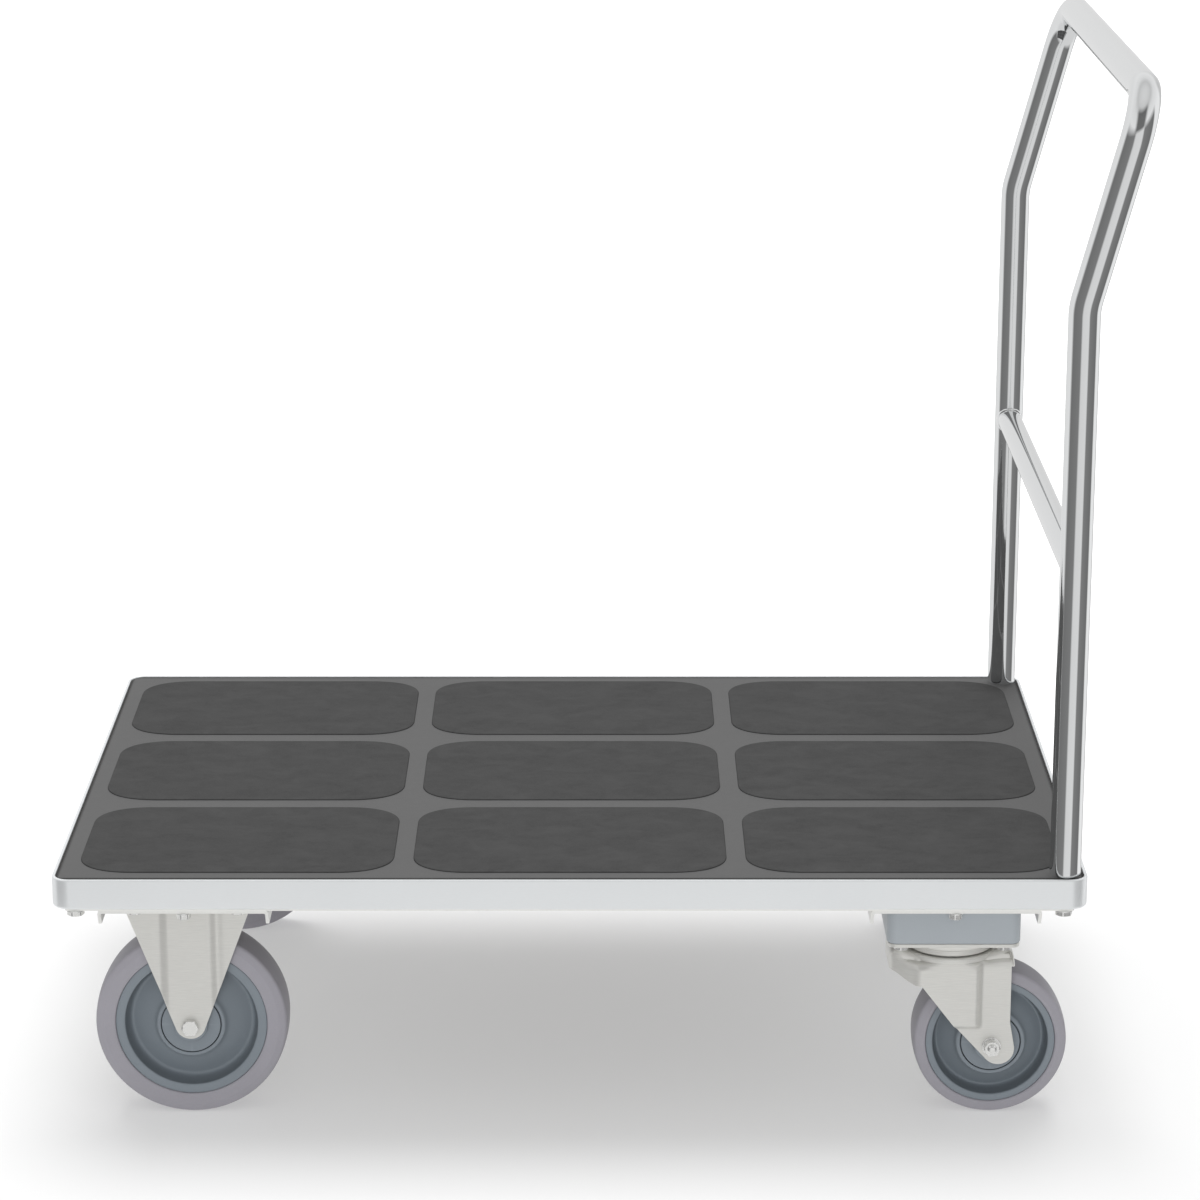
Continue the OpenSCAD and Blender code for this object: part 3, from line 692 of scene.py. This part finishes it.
# ---------------------------------------------------------------- castors
def sheet(sh, X, Y, Z, t, normal_sign):
    """Pressed sheet: grids of the outer face; the inner face is t further in along y. Arrays are rows by columns."""
    r, c = X.shape
    outer = [(X[i, k], Y[i, k], Z[i, k]) for i in range(r) for k in range(c)]
    # the inner face follows the sheet's own normals, so the wall keeps its thickness in the bends
    P = np.stack([X, Y, Z], -1)
    du = np.gradient(P, axis=1)
    dv = np.gradient(P, axis=0)
    nn = np.cross(du, dv)
    ln = np.linalg.norm(nn, axis=-1, keepdims=True)
    ln[ln < 1e-9] = 1
    nn = nn / ln
    ref = np.array([0, normal_sign, 0.0])
    nn = np.where((nn @ ref)[..., None] < -0.2, -nn, nn)
    Q = P - nn * t
    inner = [tuple(Q[i, k]) for i in range(r) for k in range(c)]
    base = r * c
    faces = []
    for i in range(r - 1):
        for k in range(c - 1):
            a = i * c + k
            faces.append([a, a + 1, a + c + 1, a + c])
            faces.append([base + a, base + a + c, base + a + c + 1, base + a + 1])
    rim = [(0, k) for k in range(c)] + [(i, c - 1) for i in range(1, r)] + [(r - 1, k) for k in range(c - 2, -1, -1)] + [(i, 0) for i in range(r - 2, 0, -1)]
    for q in range(len(rim)):
        a, b = rim[q][0] * c + rim[q][1], rim[(q + 1) % len(rim)][0] * c + rim[(q + 1) % len(rim)][1]
        faces.append([a, b, base + b, base + a])
    sh.add(outer + inner, faces)


def hex_pts(r, a0=0):
    return [(r * math.cos(math.radians(60 * k + a0)), r * math.sin(math.radians(60 * k + a0))) for k in range(6)]


def hex_head(sh, ctr, af, y0, y1, sgn, turn=10, hole=None, flange=None):
    """Hexagon head or nut standing out along y from y0 to y1 (sgn * y), with a turned chamfer."""
    R = af / 2 / math.cos(math.radians(30))
    n = 48
    def hexr(a):
        a = (math.degrees(a) - turn) % 60 - 30
        return af / 2 / math.cos(math.radians(a))
    loops = []
    H = y1 - y0
    for y, lim in ((y0, R - 0.35), (y0 + 0.35, R + 1), (y0 + H * 0.72, R + 1), (y0 + H * 0.84, R - 0.05), (y0 + H * 0.93, R - 0.35), (y1, af / 2 - 0.2)):
        lp = []
        for k in range(n):
            a = 2 * math.pi * (k + 0.5) / n
            r = min(hexr(a), lim)
            lp.append((ctr[0] + r * math.cos(a), sgn * y + ctr[1], ctr[2] + r * math.sin(a)))
        loops.append(lp)
    lp = [(ctr[0] + (af / 2 - 1.4) * math.cos(2 * math.pi * (k + 0.5) / n), ctr[1] + sgn * (y1 - 0.02), ctr[2] + (af / 2 - 1.4) * math.sin(2 * math.pi * (k + 0.5) / n)) for k in range(n)]
    loops.append(lp)
    sh.loft(loops, caps=(True, True))


def disc(sh, ctr, r, y0, y1, sgn, e=0.4, r_in=0.0):
    prof = [(r_in, y0), (r - e, y0), (r, y0 + e), (r, y1 - e), (r - e, y1), (r_in, y1)]
    if r_in > 0:
        lathe(sh, prof, ctr, 48, flip=sgn)
    else:
        loops = [[(ctr[0] + rr * math.cos(a), ctr[1] + sgn * y, ctr[2] + rr * math.sin(a)) for a in (2 * math.pi * k / 48 for k in range(48))] for rr, y in prof[1:-1]]
        sh.loft(loops, caps=(True, True))


def bolt_end(sh, ctr, r, y0, y1, sgn):
    """Threaded end with a domed tip."""
    loops = []
    y = y0
    prof = []
    while y < y1 - 1.6:
        prof += [(r, y), (r - 0.55, y + 0.55)]
        y += 1.1
    prof += [(r - 0.1, y), (r - 0.9, y1 - 0.5), (r - 1.9, y1)]
    loops = [[(ctr[0] + rr * math.cos(a), ctr[1] + sgn * yy, ctr[2] + rr * math.sin(a)) for a in (2 * math.pi * k / 40 for k in range(40))] for rr, yy in prof]
    sh.loft(loops, caps=(True, True))


def fixed_castor(name, sgn_unused=0):
    pl_lo, pl_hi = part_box(name + "_fork")
    c = middle(name + "_fork")
    cx, cy = (c.x - DX) * 1000, c.y * 1000
    top = pl_hi.z * 1000
    axle = middle(name + "_tyre").z * 1000
    s = Shape()
    slab(s, 135, 110, 9, top - 4, top, 0.7, cx, cy, 10, 20)
    # side plates
    tip, V = 15.7, 66.5
    tc = axle + 2.2
    H = top - 4
    D = math.hypot(V, H - tc)
    va = math.atan2(H - tc, V) - math.acos(tip / D)
    tx, tz = tip * math.cos(va), tc + tip * math.sin(va)
    zs = list(np.linspace(H + 0.2, tz, 44)) + [tc + tip * math.sin(va - (va + math.pi / 2) * k / 16) for k in range(1, 16)] + [tc - tip + 0.02]
    cols = 81
    for sg in (-1, 1):
        X, Y, Z = (np.zeros((len(zs), cols)) for _ in range(3))
        for i, z in enumerate(zs):
            w = V + (tx - V) * (H - z) / (H - tz) if z >= tz else math.sqrt(max(tip * tip - (z - tc) ** 2, 0.3))
            for k in range(cols):
                q = -1 + 2 * k / (cols - 1)
                x = q * w
                # soft groove either side of the proud centre panel
                out = 31.6 + 2.4 * float(1 - sm((abs(x) - 20.5) / 9.5))
                out -= 0.9 * math.exp(-(((abs(x) - 30.0) / 4.5) ** 2)) * float(sm((z - (tc + 12)) / 30))
                # the sheet turns out into the plate at its top
                out += 2.2 * float(sm((z - (H - 6)) / 6)) ** 2
                X[i, k], Y[i, k], Z[i, k] = cx + x, cy + sg * out, z
        sheet(s, X, Y, Z, 3.5, sg)
    ob = s.make(name + "_castor_fork", "platform", [name + "_fork"], "castor_steel", 35)
    bevel(ob, 0.5, 2, 50)
    # axle bolt head towards -Y, washer-faced nut towards +Y
    s = Shape()
    hex_head(s, (cx, cy, axle), 16, 34.0, 40.3, -1, 0)
    bolt_end(s, (cx, cy, axle), 5.0, 33.5, 46.0, 1)
    s.make(name + "_axle", "platform", [name + "_axle_bolt"], "fastener_zinc", 35)
    s = Shape()
    disc(s, (cx, cy, axle), 9.8, 34.0, 35.5, 1, 0.3, 5.0)
    hex_head(s, (cx, cy, axle), 16, 35.5, 43.4, 1, 15)
    s.make(name + "_nut", "platform", [name + "_axle_nut"], "fastener_zinc", 35)


def swivel_castor(name):
    k_lo, k_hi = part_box(name + "_kingpin")
    kx, ky = ((k_lo.x + k_hi.x) / 2 - DX) * 1000, (k_lo.y + k_hi.y) / 2 * 1000
    a = middle(name + "_tyre")
    ax, az = (a.x - DX) * 1000 - kx, a.z * 1000
    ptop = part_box(name + "_plate")[1].z * 1000
    head = ptop - 19.0
    body = name + "_swivel"

    # spacer block under the cross channel
    s = Shape()
    sp_lo, sp_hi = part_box(name + "_spacer")
    slab(s, 137, 110, 11, sp_lo.z * 1000, sp_hi.z * 1000, 1.6, kx, ky, 12)
    s.make(name + "_block", "platform", [name + "_spacer"], "spacer_block", 40)

    # mounting plate with the pressed cup of the ball race
    s = Shape()
    slab(s, 135, 110, 9, ptop - 4, ptop, 0.8, kx, ky, 10, 20)
    cup = rounded_profile([(6.0, ptop - 4.02), (6.0, head + 8), (41.0, head + 8), (41.0, head + 1.5), (46.6, head + 1.5), (46.6, head + 7.6), (49.5, head + 9.6), (51.0, ptop - 4.02)],
                          [0, 0, 1.5, 0.5, 2.6, 1.4, 2.0, 0], 6)
    lathe_z(s, cup, (kx, ky), 96)
    s.make(name + "_top_plate", "platform", [name + "_plate"], "castor_steel", 35)

    # pressed fork: one sheet, with a round head under the race, skirts at both ends and two long cheeks
    s = Shape()
    T = 3.5
    tipx, tipz, tr = ax + 7, az - 3.5, 16.5
    top = head

    def bottom(x, y):
        """Lower edge of the sheet below a point of its outline."""
        if y < 45.9 and x < -33:                       # skirt at the front end
            q = float(sm((x + 64.5) / 30.0))
            return 162.0 - 13.0 * q
        if x <= -31:
            return 149.0
        if x < 7.5:
            return 149.0 + (98.5 - 149.0) * (x + 31) / 38.5
        tx0 = tipx - 12.3
        if x >= tx0:
            x = min(x + 4.9 * float(sm((x - 38.0) / 23.6)), tipx + tr)
        if x < tx0:
            return 98.5 + (tipz - 11.0 - 98.5) * (x - 7.5) / (tx0 - 7.5)
        return tipz - math.sqrt(max(tr * tr - (min(x, tipx + tr) - tipx) ** 2, 0.0))

    pl = [(-64.0, 0.0), (-64.0, 8.0), (-64.0, 16.0), (-64.0, 22.0)]
    pl += [(-64.0 + 12.0 - 12.0 * math.cos(math.radians(b)), 22.0 + 12.0 * math.sin(math.radians(b))) for b in (15, 30, 45)]
    x1, y1 = pl[-1]
    for k in range(1, 7):
        q = k / 7
        pl.append((x1 + (-39.0 - x1) * q, y1 + (42.5 - y1) * q + 1.0 * math.sin(math.pi * q)))
    pl += [(-39.0, 42.5), (-37.2, 44.0), (-35.2, 45.1), (-33.0, 45.8), (-31.0, 46.0)]
    nleg0 = len(pl) - 1
    xs_leg = list(np.arange(-29.0, 61.4, 1.5)) + [61.6]
    pl += [(float(x), 46.0) for x in xs_leg]
    nleg1 = len(pl) - 1
    tail = [(62.6, 45.6), (63.4, 44.8), (63.9, 43.4), (64.0, 41.0), (64.0, 32.0), (64.0, 20.0), (64.0, 8.0), (64.0, 0.0)]
    pl += tail
    PLN = np.array(pl)
    n2 = np.zeros_like(PLN)
    d = np.gradient(PLN, axis=0)
    n2[:, 0], n2[:, 1] = -d[:, 1], d[:, 0]
    n2 /= np.linalg.norm(n2, axis=1)[:, None]
    C = len(pl)
    CR = 6                                             # rows of the bend
    crown = 12.0                                       # depth of the crown below the head
    R = 6.5

    def step(x, z):
        """How far the sheet is set in from the proud upper panel."""
        panel = float(1 - sm((x - 25.0) / 7.5)) * float(sm((z - 98.0) / 8.0))
        return 8.0 * (1 - panel)

    def place(i, z, depth):
        """Outline point i at height z, depth below the head; the head narrows to the round race above."""
        x, y = PLN[i]
        if nleg0 <= i <= nleg1:
            y = y - step(x, z)
            ytop = min(y, math.sqrt(max(47.5 ** 2 - x * x, 33.0 ** 2)))
            y = ytop + (y - ytop) * float(sm(depth / 15.0))
            if z < 106:
                x = x + 4.9 * min(1.0, (106 - z) / 27.0) * float(sm((x - 38.0) / 23.6))
        elif i > nleg1:
            y = y * (38.0 / 46.0)
            x = x + 1.2 * float(sm((depth - 3) / 9.0))
        else:
            y = y - (1 - float(sm(depth / 15.0))) * 10.0 * float(sm((x + 62) / 31.0))
        return x, y

    for sg in (-1, 1):
        OUT, NRM = [], []
        for k in range(CR):
            b = math.radians(90 - 90 * k / (CR - 1) if k else 90)
            row, nr = [], []
            for i in range(C):
                x, y = place(i, top, 0)
                nx, ny = n2[i]
                inn = R - R * math.cos(b)
                row.append((x - nx * (R - R * math.cos(b)), y - ny * (R - R * math.cos(b)), top - R + R * math.sin(b)))
                nr.append((nx * math.cos(b), ny * math.cos(b), math.sin(b)))
            OUT.append(row)
            NRM.append(nr)
        crown_rows = 4
        for k in range(1, crown_rows + 1):
            row, nr = [], []
            for i in range(C):
                zb = bottom(*PLN[i]) if i <= nleg1 else 167.5
                z1 = max(top - crown, zb) if i > nleg1 or i < nleg0 else top - crown
                z = (top - R) + (z1 - (top - R)) * k / crown_rows
                x, y = place(i, z, top - z)
                row.append((x, y, z))
                nr.append((n2[i][0], n2[i][1], 0))
            OUT.append(row)
            NRM.append(nr)
        rows_leg = 56
        for k in range(1, rows_leg + 1):
            row, nr = [], []
            for i in range(C):
                z0 = OUT[CR + crown_rows - 1][i][2]
                if i <= nleg1:
                    zb = min(bottom(*PLN[i]), z0 - 0.5)
                    # rows spaced evenly from the crown down to the lower edge
                    z = z0 + (zb - z0) * k / rows_leg
                else:
                    z = z0
                x, y = place(i, z, top - z)
                row.append((x, y, z))
                nr.append((n2[i][0], n2[i][1], 0))
            OUT.append(row)
            NRM.append(nr)
        A, N = np.array(OUT), np.array(NRM)
        # raised shoulders at both ends of the head, outside the race
        A[:, :, 2] += 5.0 * sm((np.abs(A[:, :, 0]) - 34.0) / 22.0) * np.clip(1 - (top - A[:, :, 2]) / 11.0, 0, 1)
        rows = len(A)
        last_top = CR + crown_rows - 1
        full = np.zeros((rows - 1, C - 1), bool)
        full[:last_top, :] = True
        full[last_top:, :nleg1] = True
        ids, verts, faces = {}, [], []

        def vid(i, k, side):
            key = (i, k, side)
            if key not in ids:
                p = A[i, k] - (N[i, k] * T if side else 0)
                ids[key] = len(verts)
                verts.append((kx + p[0], ky + sg * p[1], p[2]))
            return ids[key]
        for i in range(rows - 1):
            for k in range(C - 1):
                if not full[i, k]:
                    continue
                faces.append([vid(i, k, 0), vid(i, k + 1, 0), vid(i + 1, k + 1, 0), vid(i + 1, k, 0)])
                faces.append([vid(i, k, 1), vid(i + 1, k, 1), vid(i + 1, k + 1, 1), vid(i, k + 1, 1)])
                # close the free edges: below, and at the sheared end of the leg
                if i == rows - 2 or not full[i + 1, k]:
                    faces.append([vid(i + 1, k, 0), vid(i + 1, k + 1, 0), vid(i + 1, k + 1, 1), vid(i + 1, k, 1)])
                if k + 1 < C - 1 and not full[i, k + 1]:
                    faces.append([vid(i, k + 1, 0), vid(i, k + 1, 1), vid(i + 1, k + 1, 1), vid(i + 1, k + 1, 0)])
        s.add(verts, faces)
        # the head's flat top and underside, fanned in to the race and the kingpin hole
        for side, zz in ((0, top), (1, top - T)):
            edge = [A[0, k] - (N[0, k] * T if side else 0) for k in range(C)]
            rings = [[(kx + p[0], ky + sg * p[1], p[2]) for p in edge]]
            for rr in (52.0, 28.0, 6.3):
                lp = []
                for p in edge:
                    th = math.atan2(p[1], p[0])
                    re = min(rr, math.hypot(p[0], p[1]) - 0.5) if rr > 50 else rr
                    lp.append((kx + re * math.cos(th), ky + sg * re * math.sin(th), zz))
                rings.append(lp)
            s.loft(rings, closed=False)
    # wall of the kingpin hole
    s.loft([[(kx + 6.3 * math.cos(q), ky + 6.3 * math.sin(q), zz) for q in (2 * math.pi * k / 64 for k in range(64))] for zz in (top, top - T)])
    # lower race ring, pressed up from the head under the cup
    lathe_z(s, rounded_profile([(42.0, top - 5.4), (49.0, top - 5.4), (49.6, top + 0.6), (42.0, top + 0.6)], [0, 1.2, 1.8, 0.4], 6), (kx, ky), 96)
    ob = s.make(name + "_pressed_fork", body, [name + "_fork"], "castor_steel", 38)
    bevel(ob, 0.45, 2, 55)

    ctr = (kx + ax, ky, az)
    s = Shape()
    hex_head(s, ctr, 16, 38.0, 44.3, 1, 0)
    bolt_end(s, ctr, 5.0, 37.5, 50.0, -1)
    s.make(name + "_axle", body, [name + "_axle_bolt"], "fastener_zinc", 35)
    s = Shape()
    disc(s, ctr, 9.8, 38.0, 39.5, -1, 0.3, 5.0)
    hex_head(s, ctr, 15.4, 39.5, 47.0, -1, 8)
    s.make(name + "_nut", body, [name + "_axle_nut"], "fastener_zinc", 35)


for nm in ("fixed_left", "fixed_right"):
    fixed_castor(nm)
for nm in ("swivel_left", "swivel_right"):
    swivel_castor(nm)

# ---------------------------------------------------------------- cross channels: folded sheet with rounded bends
for nm in ("channel_front", "channel_rear"):
    lo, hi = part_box(nm)
    x0, x1 = (lo.x - DX) * 1000, (hi.x - DX) * 1000
    y1 = hi.y * 1000
    z0, z1 = lo.z * 1000, hi.z * 1000
    t2 = 3.5
    prof = rounded_profile([(x0, z0), (x0, z1), (x1, z1), (x1, z0), (x1 - t2, z0), (x1 - t2, z1 - t2), (x0 + t2, z1 - t2), (x0 + t2, z0)],
                           [0.6, 4.2, 4.2, 0.6, 0.6, 1.4, 1.4, 0.6], 5)
    s = Shape()
    loops = []
    for yy in (-y1, -y1 + 0.6, y1 - 0.6, y1):
        lp = []
        for x, z in prof:
            # flange ends are cut back at a slant
            cut = max(0.0, (z1 - 6 - z)) * 0.7
            y = (abs(yy) - cut) * (1 if yy > 0 else -1)
            lp.append((x, y, z))
        loops.append(lp)
    s.loft(loops, caps=(True, True))
    s.make(nm + "_sheet", "platform", [nm], "zinc_plate", 35)

# ---------------------------------------------------------------- bolts that show below
def bolt_down(sh, x, y, z, af, flange=True, h=5.0, turn=15):
    """Flanged hexagon head hanging under z."""
    c2 = (x, y)
    if flange:
        lathe_z(sh, [(2.0, z), (af * 0.62, z), (af * 0.66, z - 0.4), (af * 0.66, z - 0.9), (af * 0.60, z - 1.7), (2.0, z - 1.7)], c2, 40)
        z = z - 1.5
    n = 48
    loops = []
    def hexr(a):
        a = (math.degrees(a) - turn) % 60 - 30
        return af / 2 / math.cos(math.radians(a))
    R = af / 2 / math.cos(math.radians(30))
    for q, lim in ((0, R), (0.66, R + 1), (0.82, R - 0.1), (0.93, R - 0.45), (1.0, af / 2 - 0.3)):
        loops.append([(x + min(hexr(a), lim) * math.cos(a), y + min(hexr(a), lim) * math.sin(a), z - h * q) for a in (2 * math.pi * (k + 0.5) / n for k in range(n))])
    loops.append([(x + (af / 2 - 1.5) * math.cos(a), y + (af / 2 - 1.5) * math.sin(a), z - h + 0.1) for a in (2 * math.pi * (k + 0.5) / n for k in range(n))])
    sh.loft(loops, caps=(True, True))


def shank(sh, x, y, z0, z1, r):
    sh.loft([[(x + r * math.cos(a), y + r * math.sin(a), z) for a in (2 * math.pi * k / 32 for k in range(32))] for z in (z0, z1)], caps=(True, True))


s = Shape()
lo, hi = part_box("corner_bolts")
for sx in (-1, 1):
    for sy in (-1, 1):
        bolt_down(s, sx * LX, sy * LY, RIM_Z0 - 6, 16, True, 5.0)
        shank(s, sx * LX, sy * LY, RIM_Z0 - 6, hi.z * 1000 if sx > 0 else MAT_Z0 - 1, 5)
s.make("deck_corner_bolts", "platform", ["corner_bolts"], "fastener_zinc", 35)
s = Shape()
CX = DECK_L / 2 - 132
web = RIM_Z0 - 9.5
for sx in (-1, 1):
    for sy in (-1, 1):
        bolt_down(s, sx * CX, sy * LY, web, 13, True, 6.0)
        shank(s, sx * CX, sy * LY, web, MAT_Z0 - 1, 4)
s.make("cross_channel_bolts", "platform", ["channel_bolts"], "fastener_zinc", 35)
CY = DECK_W / 2 - 86
for nm, sx, z, af, h in (("fixed_castor_bolts", -1, web - 4, 16, 5.0), ("swivel_castor_bolts", 1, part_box("swivel_left_plate")[1].z * 1000 - 4, 14, 4.6)):
    s = Shape()
    for sy in (-1, 1):
        for i in (-1, 1):
            for j in (-1, 1):
                x, y = sx * CX + i * 52.5, sy * CY + j * 40
                bolt_down(s, x, y, z, af, sx > 0, h if sx > 0 else h + 1.4, 15 if sx > 0 else 0)
                shank(s, x, y, z, web + 12.5, 5)
    s.make(nm.replace("bolts", "plate_bolts"), "platform", [nm], "fastener_zinc", 35)

for nm in ("castor_nuts", "support_bars", "swivel_left_kingpin", "swivel_right_kingpin"):
    bevel(NODES[nm], 0.3, 2, 40)

# ---------------------------------------------------------------- stage: plain pale floor
bpy.ops.mesh.primitive_plane_add(size=40, location=(0, 0, 0))
floor = bpy.context.object
floor.name = "floor"
fm = bpy.data.materials.new("floor")
nt, bsdf = nodes_of(fm)
bsdf.inputs["Roughness"].default_value = 0.9
bsdf.inputs["Specular IOR Level"].default_value = 0.1
fsep = nt.nodes.new("ShaderNodeSeparateXYZ")
ftc = nt.nodes.new("ShaderNodeTexCoord")
nt.links.new(ftc.outputs["Object"], fsep.inputs[0])
# painted shade: the floor's colour is darker in front of and under the trolley, and paler behind it
nt.links.new(ramp(nt, maprange(nt, fsep.outputs["Y"], 0.0, 1.0, -0.8, 1.2), [(0.0, (0.50, 0.50, 0.50)), (0.55, (0.54, 0.54, 0.54)), (0.80, (0.82, 0.82, 0.82)), (1.0, (0.92, 0.92, 0.92))]), bsdf.inputs["Base Color"])
# painted light: the floor glows a little (emission 0.35), which lifts the shadows on it
bsdf.inputs["Emission Color"].default_value = (1, 1, 1, 1)
bsdf.inputs["Emission Strength"].default_value = 0.35
floor.data.materials.append(fm)
floor.visible_glossy = False

# ---------------------------------------------------------------- light
world = bpy.data.worlds.new("studio")
scene.world = world
world.use_nodes = True
wn = world.node_tree
wn.nodes.clear()
wout = wn.nodes.new("ShaderNodeOutputWorld")
bg = wn.nodes.new("ShaderNodeBackground")
wn.links.new(bg.outputs[0], wout.inputs[0])
tc = wn.nodes.new("ShaderNodeTexCoord")
sep = wn.nodes.new("ShaderNodeSeparateXYZ")
wn.links.new(tc.outputs["Generated"], sep.inputs[0])
# azimuth round the studio, 0.5 facing -Y
at = wn.nodes.new("ShaderNodeMath")
at.operation = "ARCTAN2"
neg = wn.nodes.new("ShaderNodeMath")
neg.operation = "MULTIPLY"
neg.inputs[1].default_value = -1
wn.links.new(sep.outputs["Y"], neg.inputs[0])
wn.links.new(sep.outputs["X"], at.inputs[0])
wn.links.new(neg.outputs[0], at.inputs[1])
az01 = maprange(wn, at.outputs[0], 0.0, 1.0, -math.pi, math.pi)


def g(v):
    return (v, v, v)


def azp(deg):
    return (deg + 180) / 360


bands = ramp(wn, az01, [(0.0, g(0.85)), (azp(-100), g(0.92)), (azp(-84), g(0.20)), (azp(-26), g(0.24)), (azp(-16), g(0.80)), (azp(26), g(0.84)),
                        (azp(34), g(0.25)), (azp(88), g(0.19)), (azp(97), g(1.0)), (azp(128), g(1.0)), (azp(140), g(0.62)), (azp(168), g(0.8)), (1.0, g(0.85))])
up = maprange(wn, sep.outputs["Z"], 0.0, 1.0, 0.28, 0.5)
refl = mix(wn, up, bands, ramp(wn, sep.outputs["Z"], [(0.50, g(0.93)), (0.72, g(0.86)), (0.86, g(0.66)), (1.0, g(0.80))]))


def times(a, b):
    m = wn.nodes.new("ShaderNodeMath")
    m.operation = "MULTIPLY"
    wn.links.new(a, m.inputs[0])
    wn.links.new(b, m.inputs[1])
    return m.outputs[0]


# dark gap high up in front, seen in the bends of the tube
gap = times(maprange(wn, sep.outputs["Z"], 0.0, 1.0, 0.30, 0.42), maprange(wn, sep.outputs["Z"], 1.0, 0.0, 0.80, 0.90))
gap = times(gap, maprange(wn, neg.outputs[0], 0.0, 0.9, 0.20, 0.42))
absx = wn.nodes.new("ShaderNodeMath")
absx.operation = "ABSOLUTE"
wn.links.new(sep.outputs["X"], absx.inputs[0])
gap = times(gap, maprange(wn, absx.outputs[0], 1.0, 0.0, 0.34, 0.56))
refl = mix(wn, gap, refl, (0.10, 0.10, 0.10))
# pale ground, seen in the undersides of level tubes
refl = mix(wn, maprange(wn, sep.outputs["Z"], 1.0, 0.0, -0.64, -0.47), refl, (0.80, 0.80, 0.80))
lp = wn.nodes.new("ShaderNodeLightPath")
fill = ramp(wn, az01, [(0.0, g(0.70)), (azp(-95), g(0.22)), (azp(-60), g(0.25)), (azp(-20), g(0.85)), (azp(20), g(0.85)), (azp(60), g(0.22)), (azp(95), g(0.18)), (1.0, g(0.70))])
fill = mix(wn, maprange(wn, sep.outputs["Z"], 0.42, 1.0, -0.1, 0.45), (0.0, 0.0, 0.0), fill)
fill = mix(wn, maprange(wn, sep.outputs["Z"], 0.0, 1.0, 0.35, 0.8), fill, (0.85, 0.85, 0.85))
col = mix(wn, lp.outputs["Is Glossy Ray"], fill, refl)
col = mix(wn, lp.outputs["Is Camera Ray"], col, (1.1, 1.1, 1.1))
wn.links.new(col, bg.inputs["Color"])
bg.inputs["Strength"].default_value = 0.95


sun = bpy.data.objects.new("key", bpy.data.lights.new("key", "SUN"))
scene.collection.objects.link(sun)
sun.data.energy = 2.15
sun.visible_glossy = False
sun.data.angle = math.radians(40)
sun.rotation_euler = Vector((0.02, -0.33, -1.0)).to_track_quat("-Z", "Y").to_euler()
front = bpy.data.objects.new("front_fill", bpy.data.lights.new("front_fill", "SUN"))
scene.collection.objects.link(front)
front.data.energy = 1.08
front.visible_glossy = False
front.data.angle = math.radians(40)
front.rotation_euler = Vector((0.10, 1.0, -0.10)).to_track_quat("-Z", "Y").to_euler()
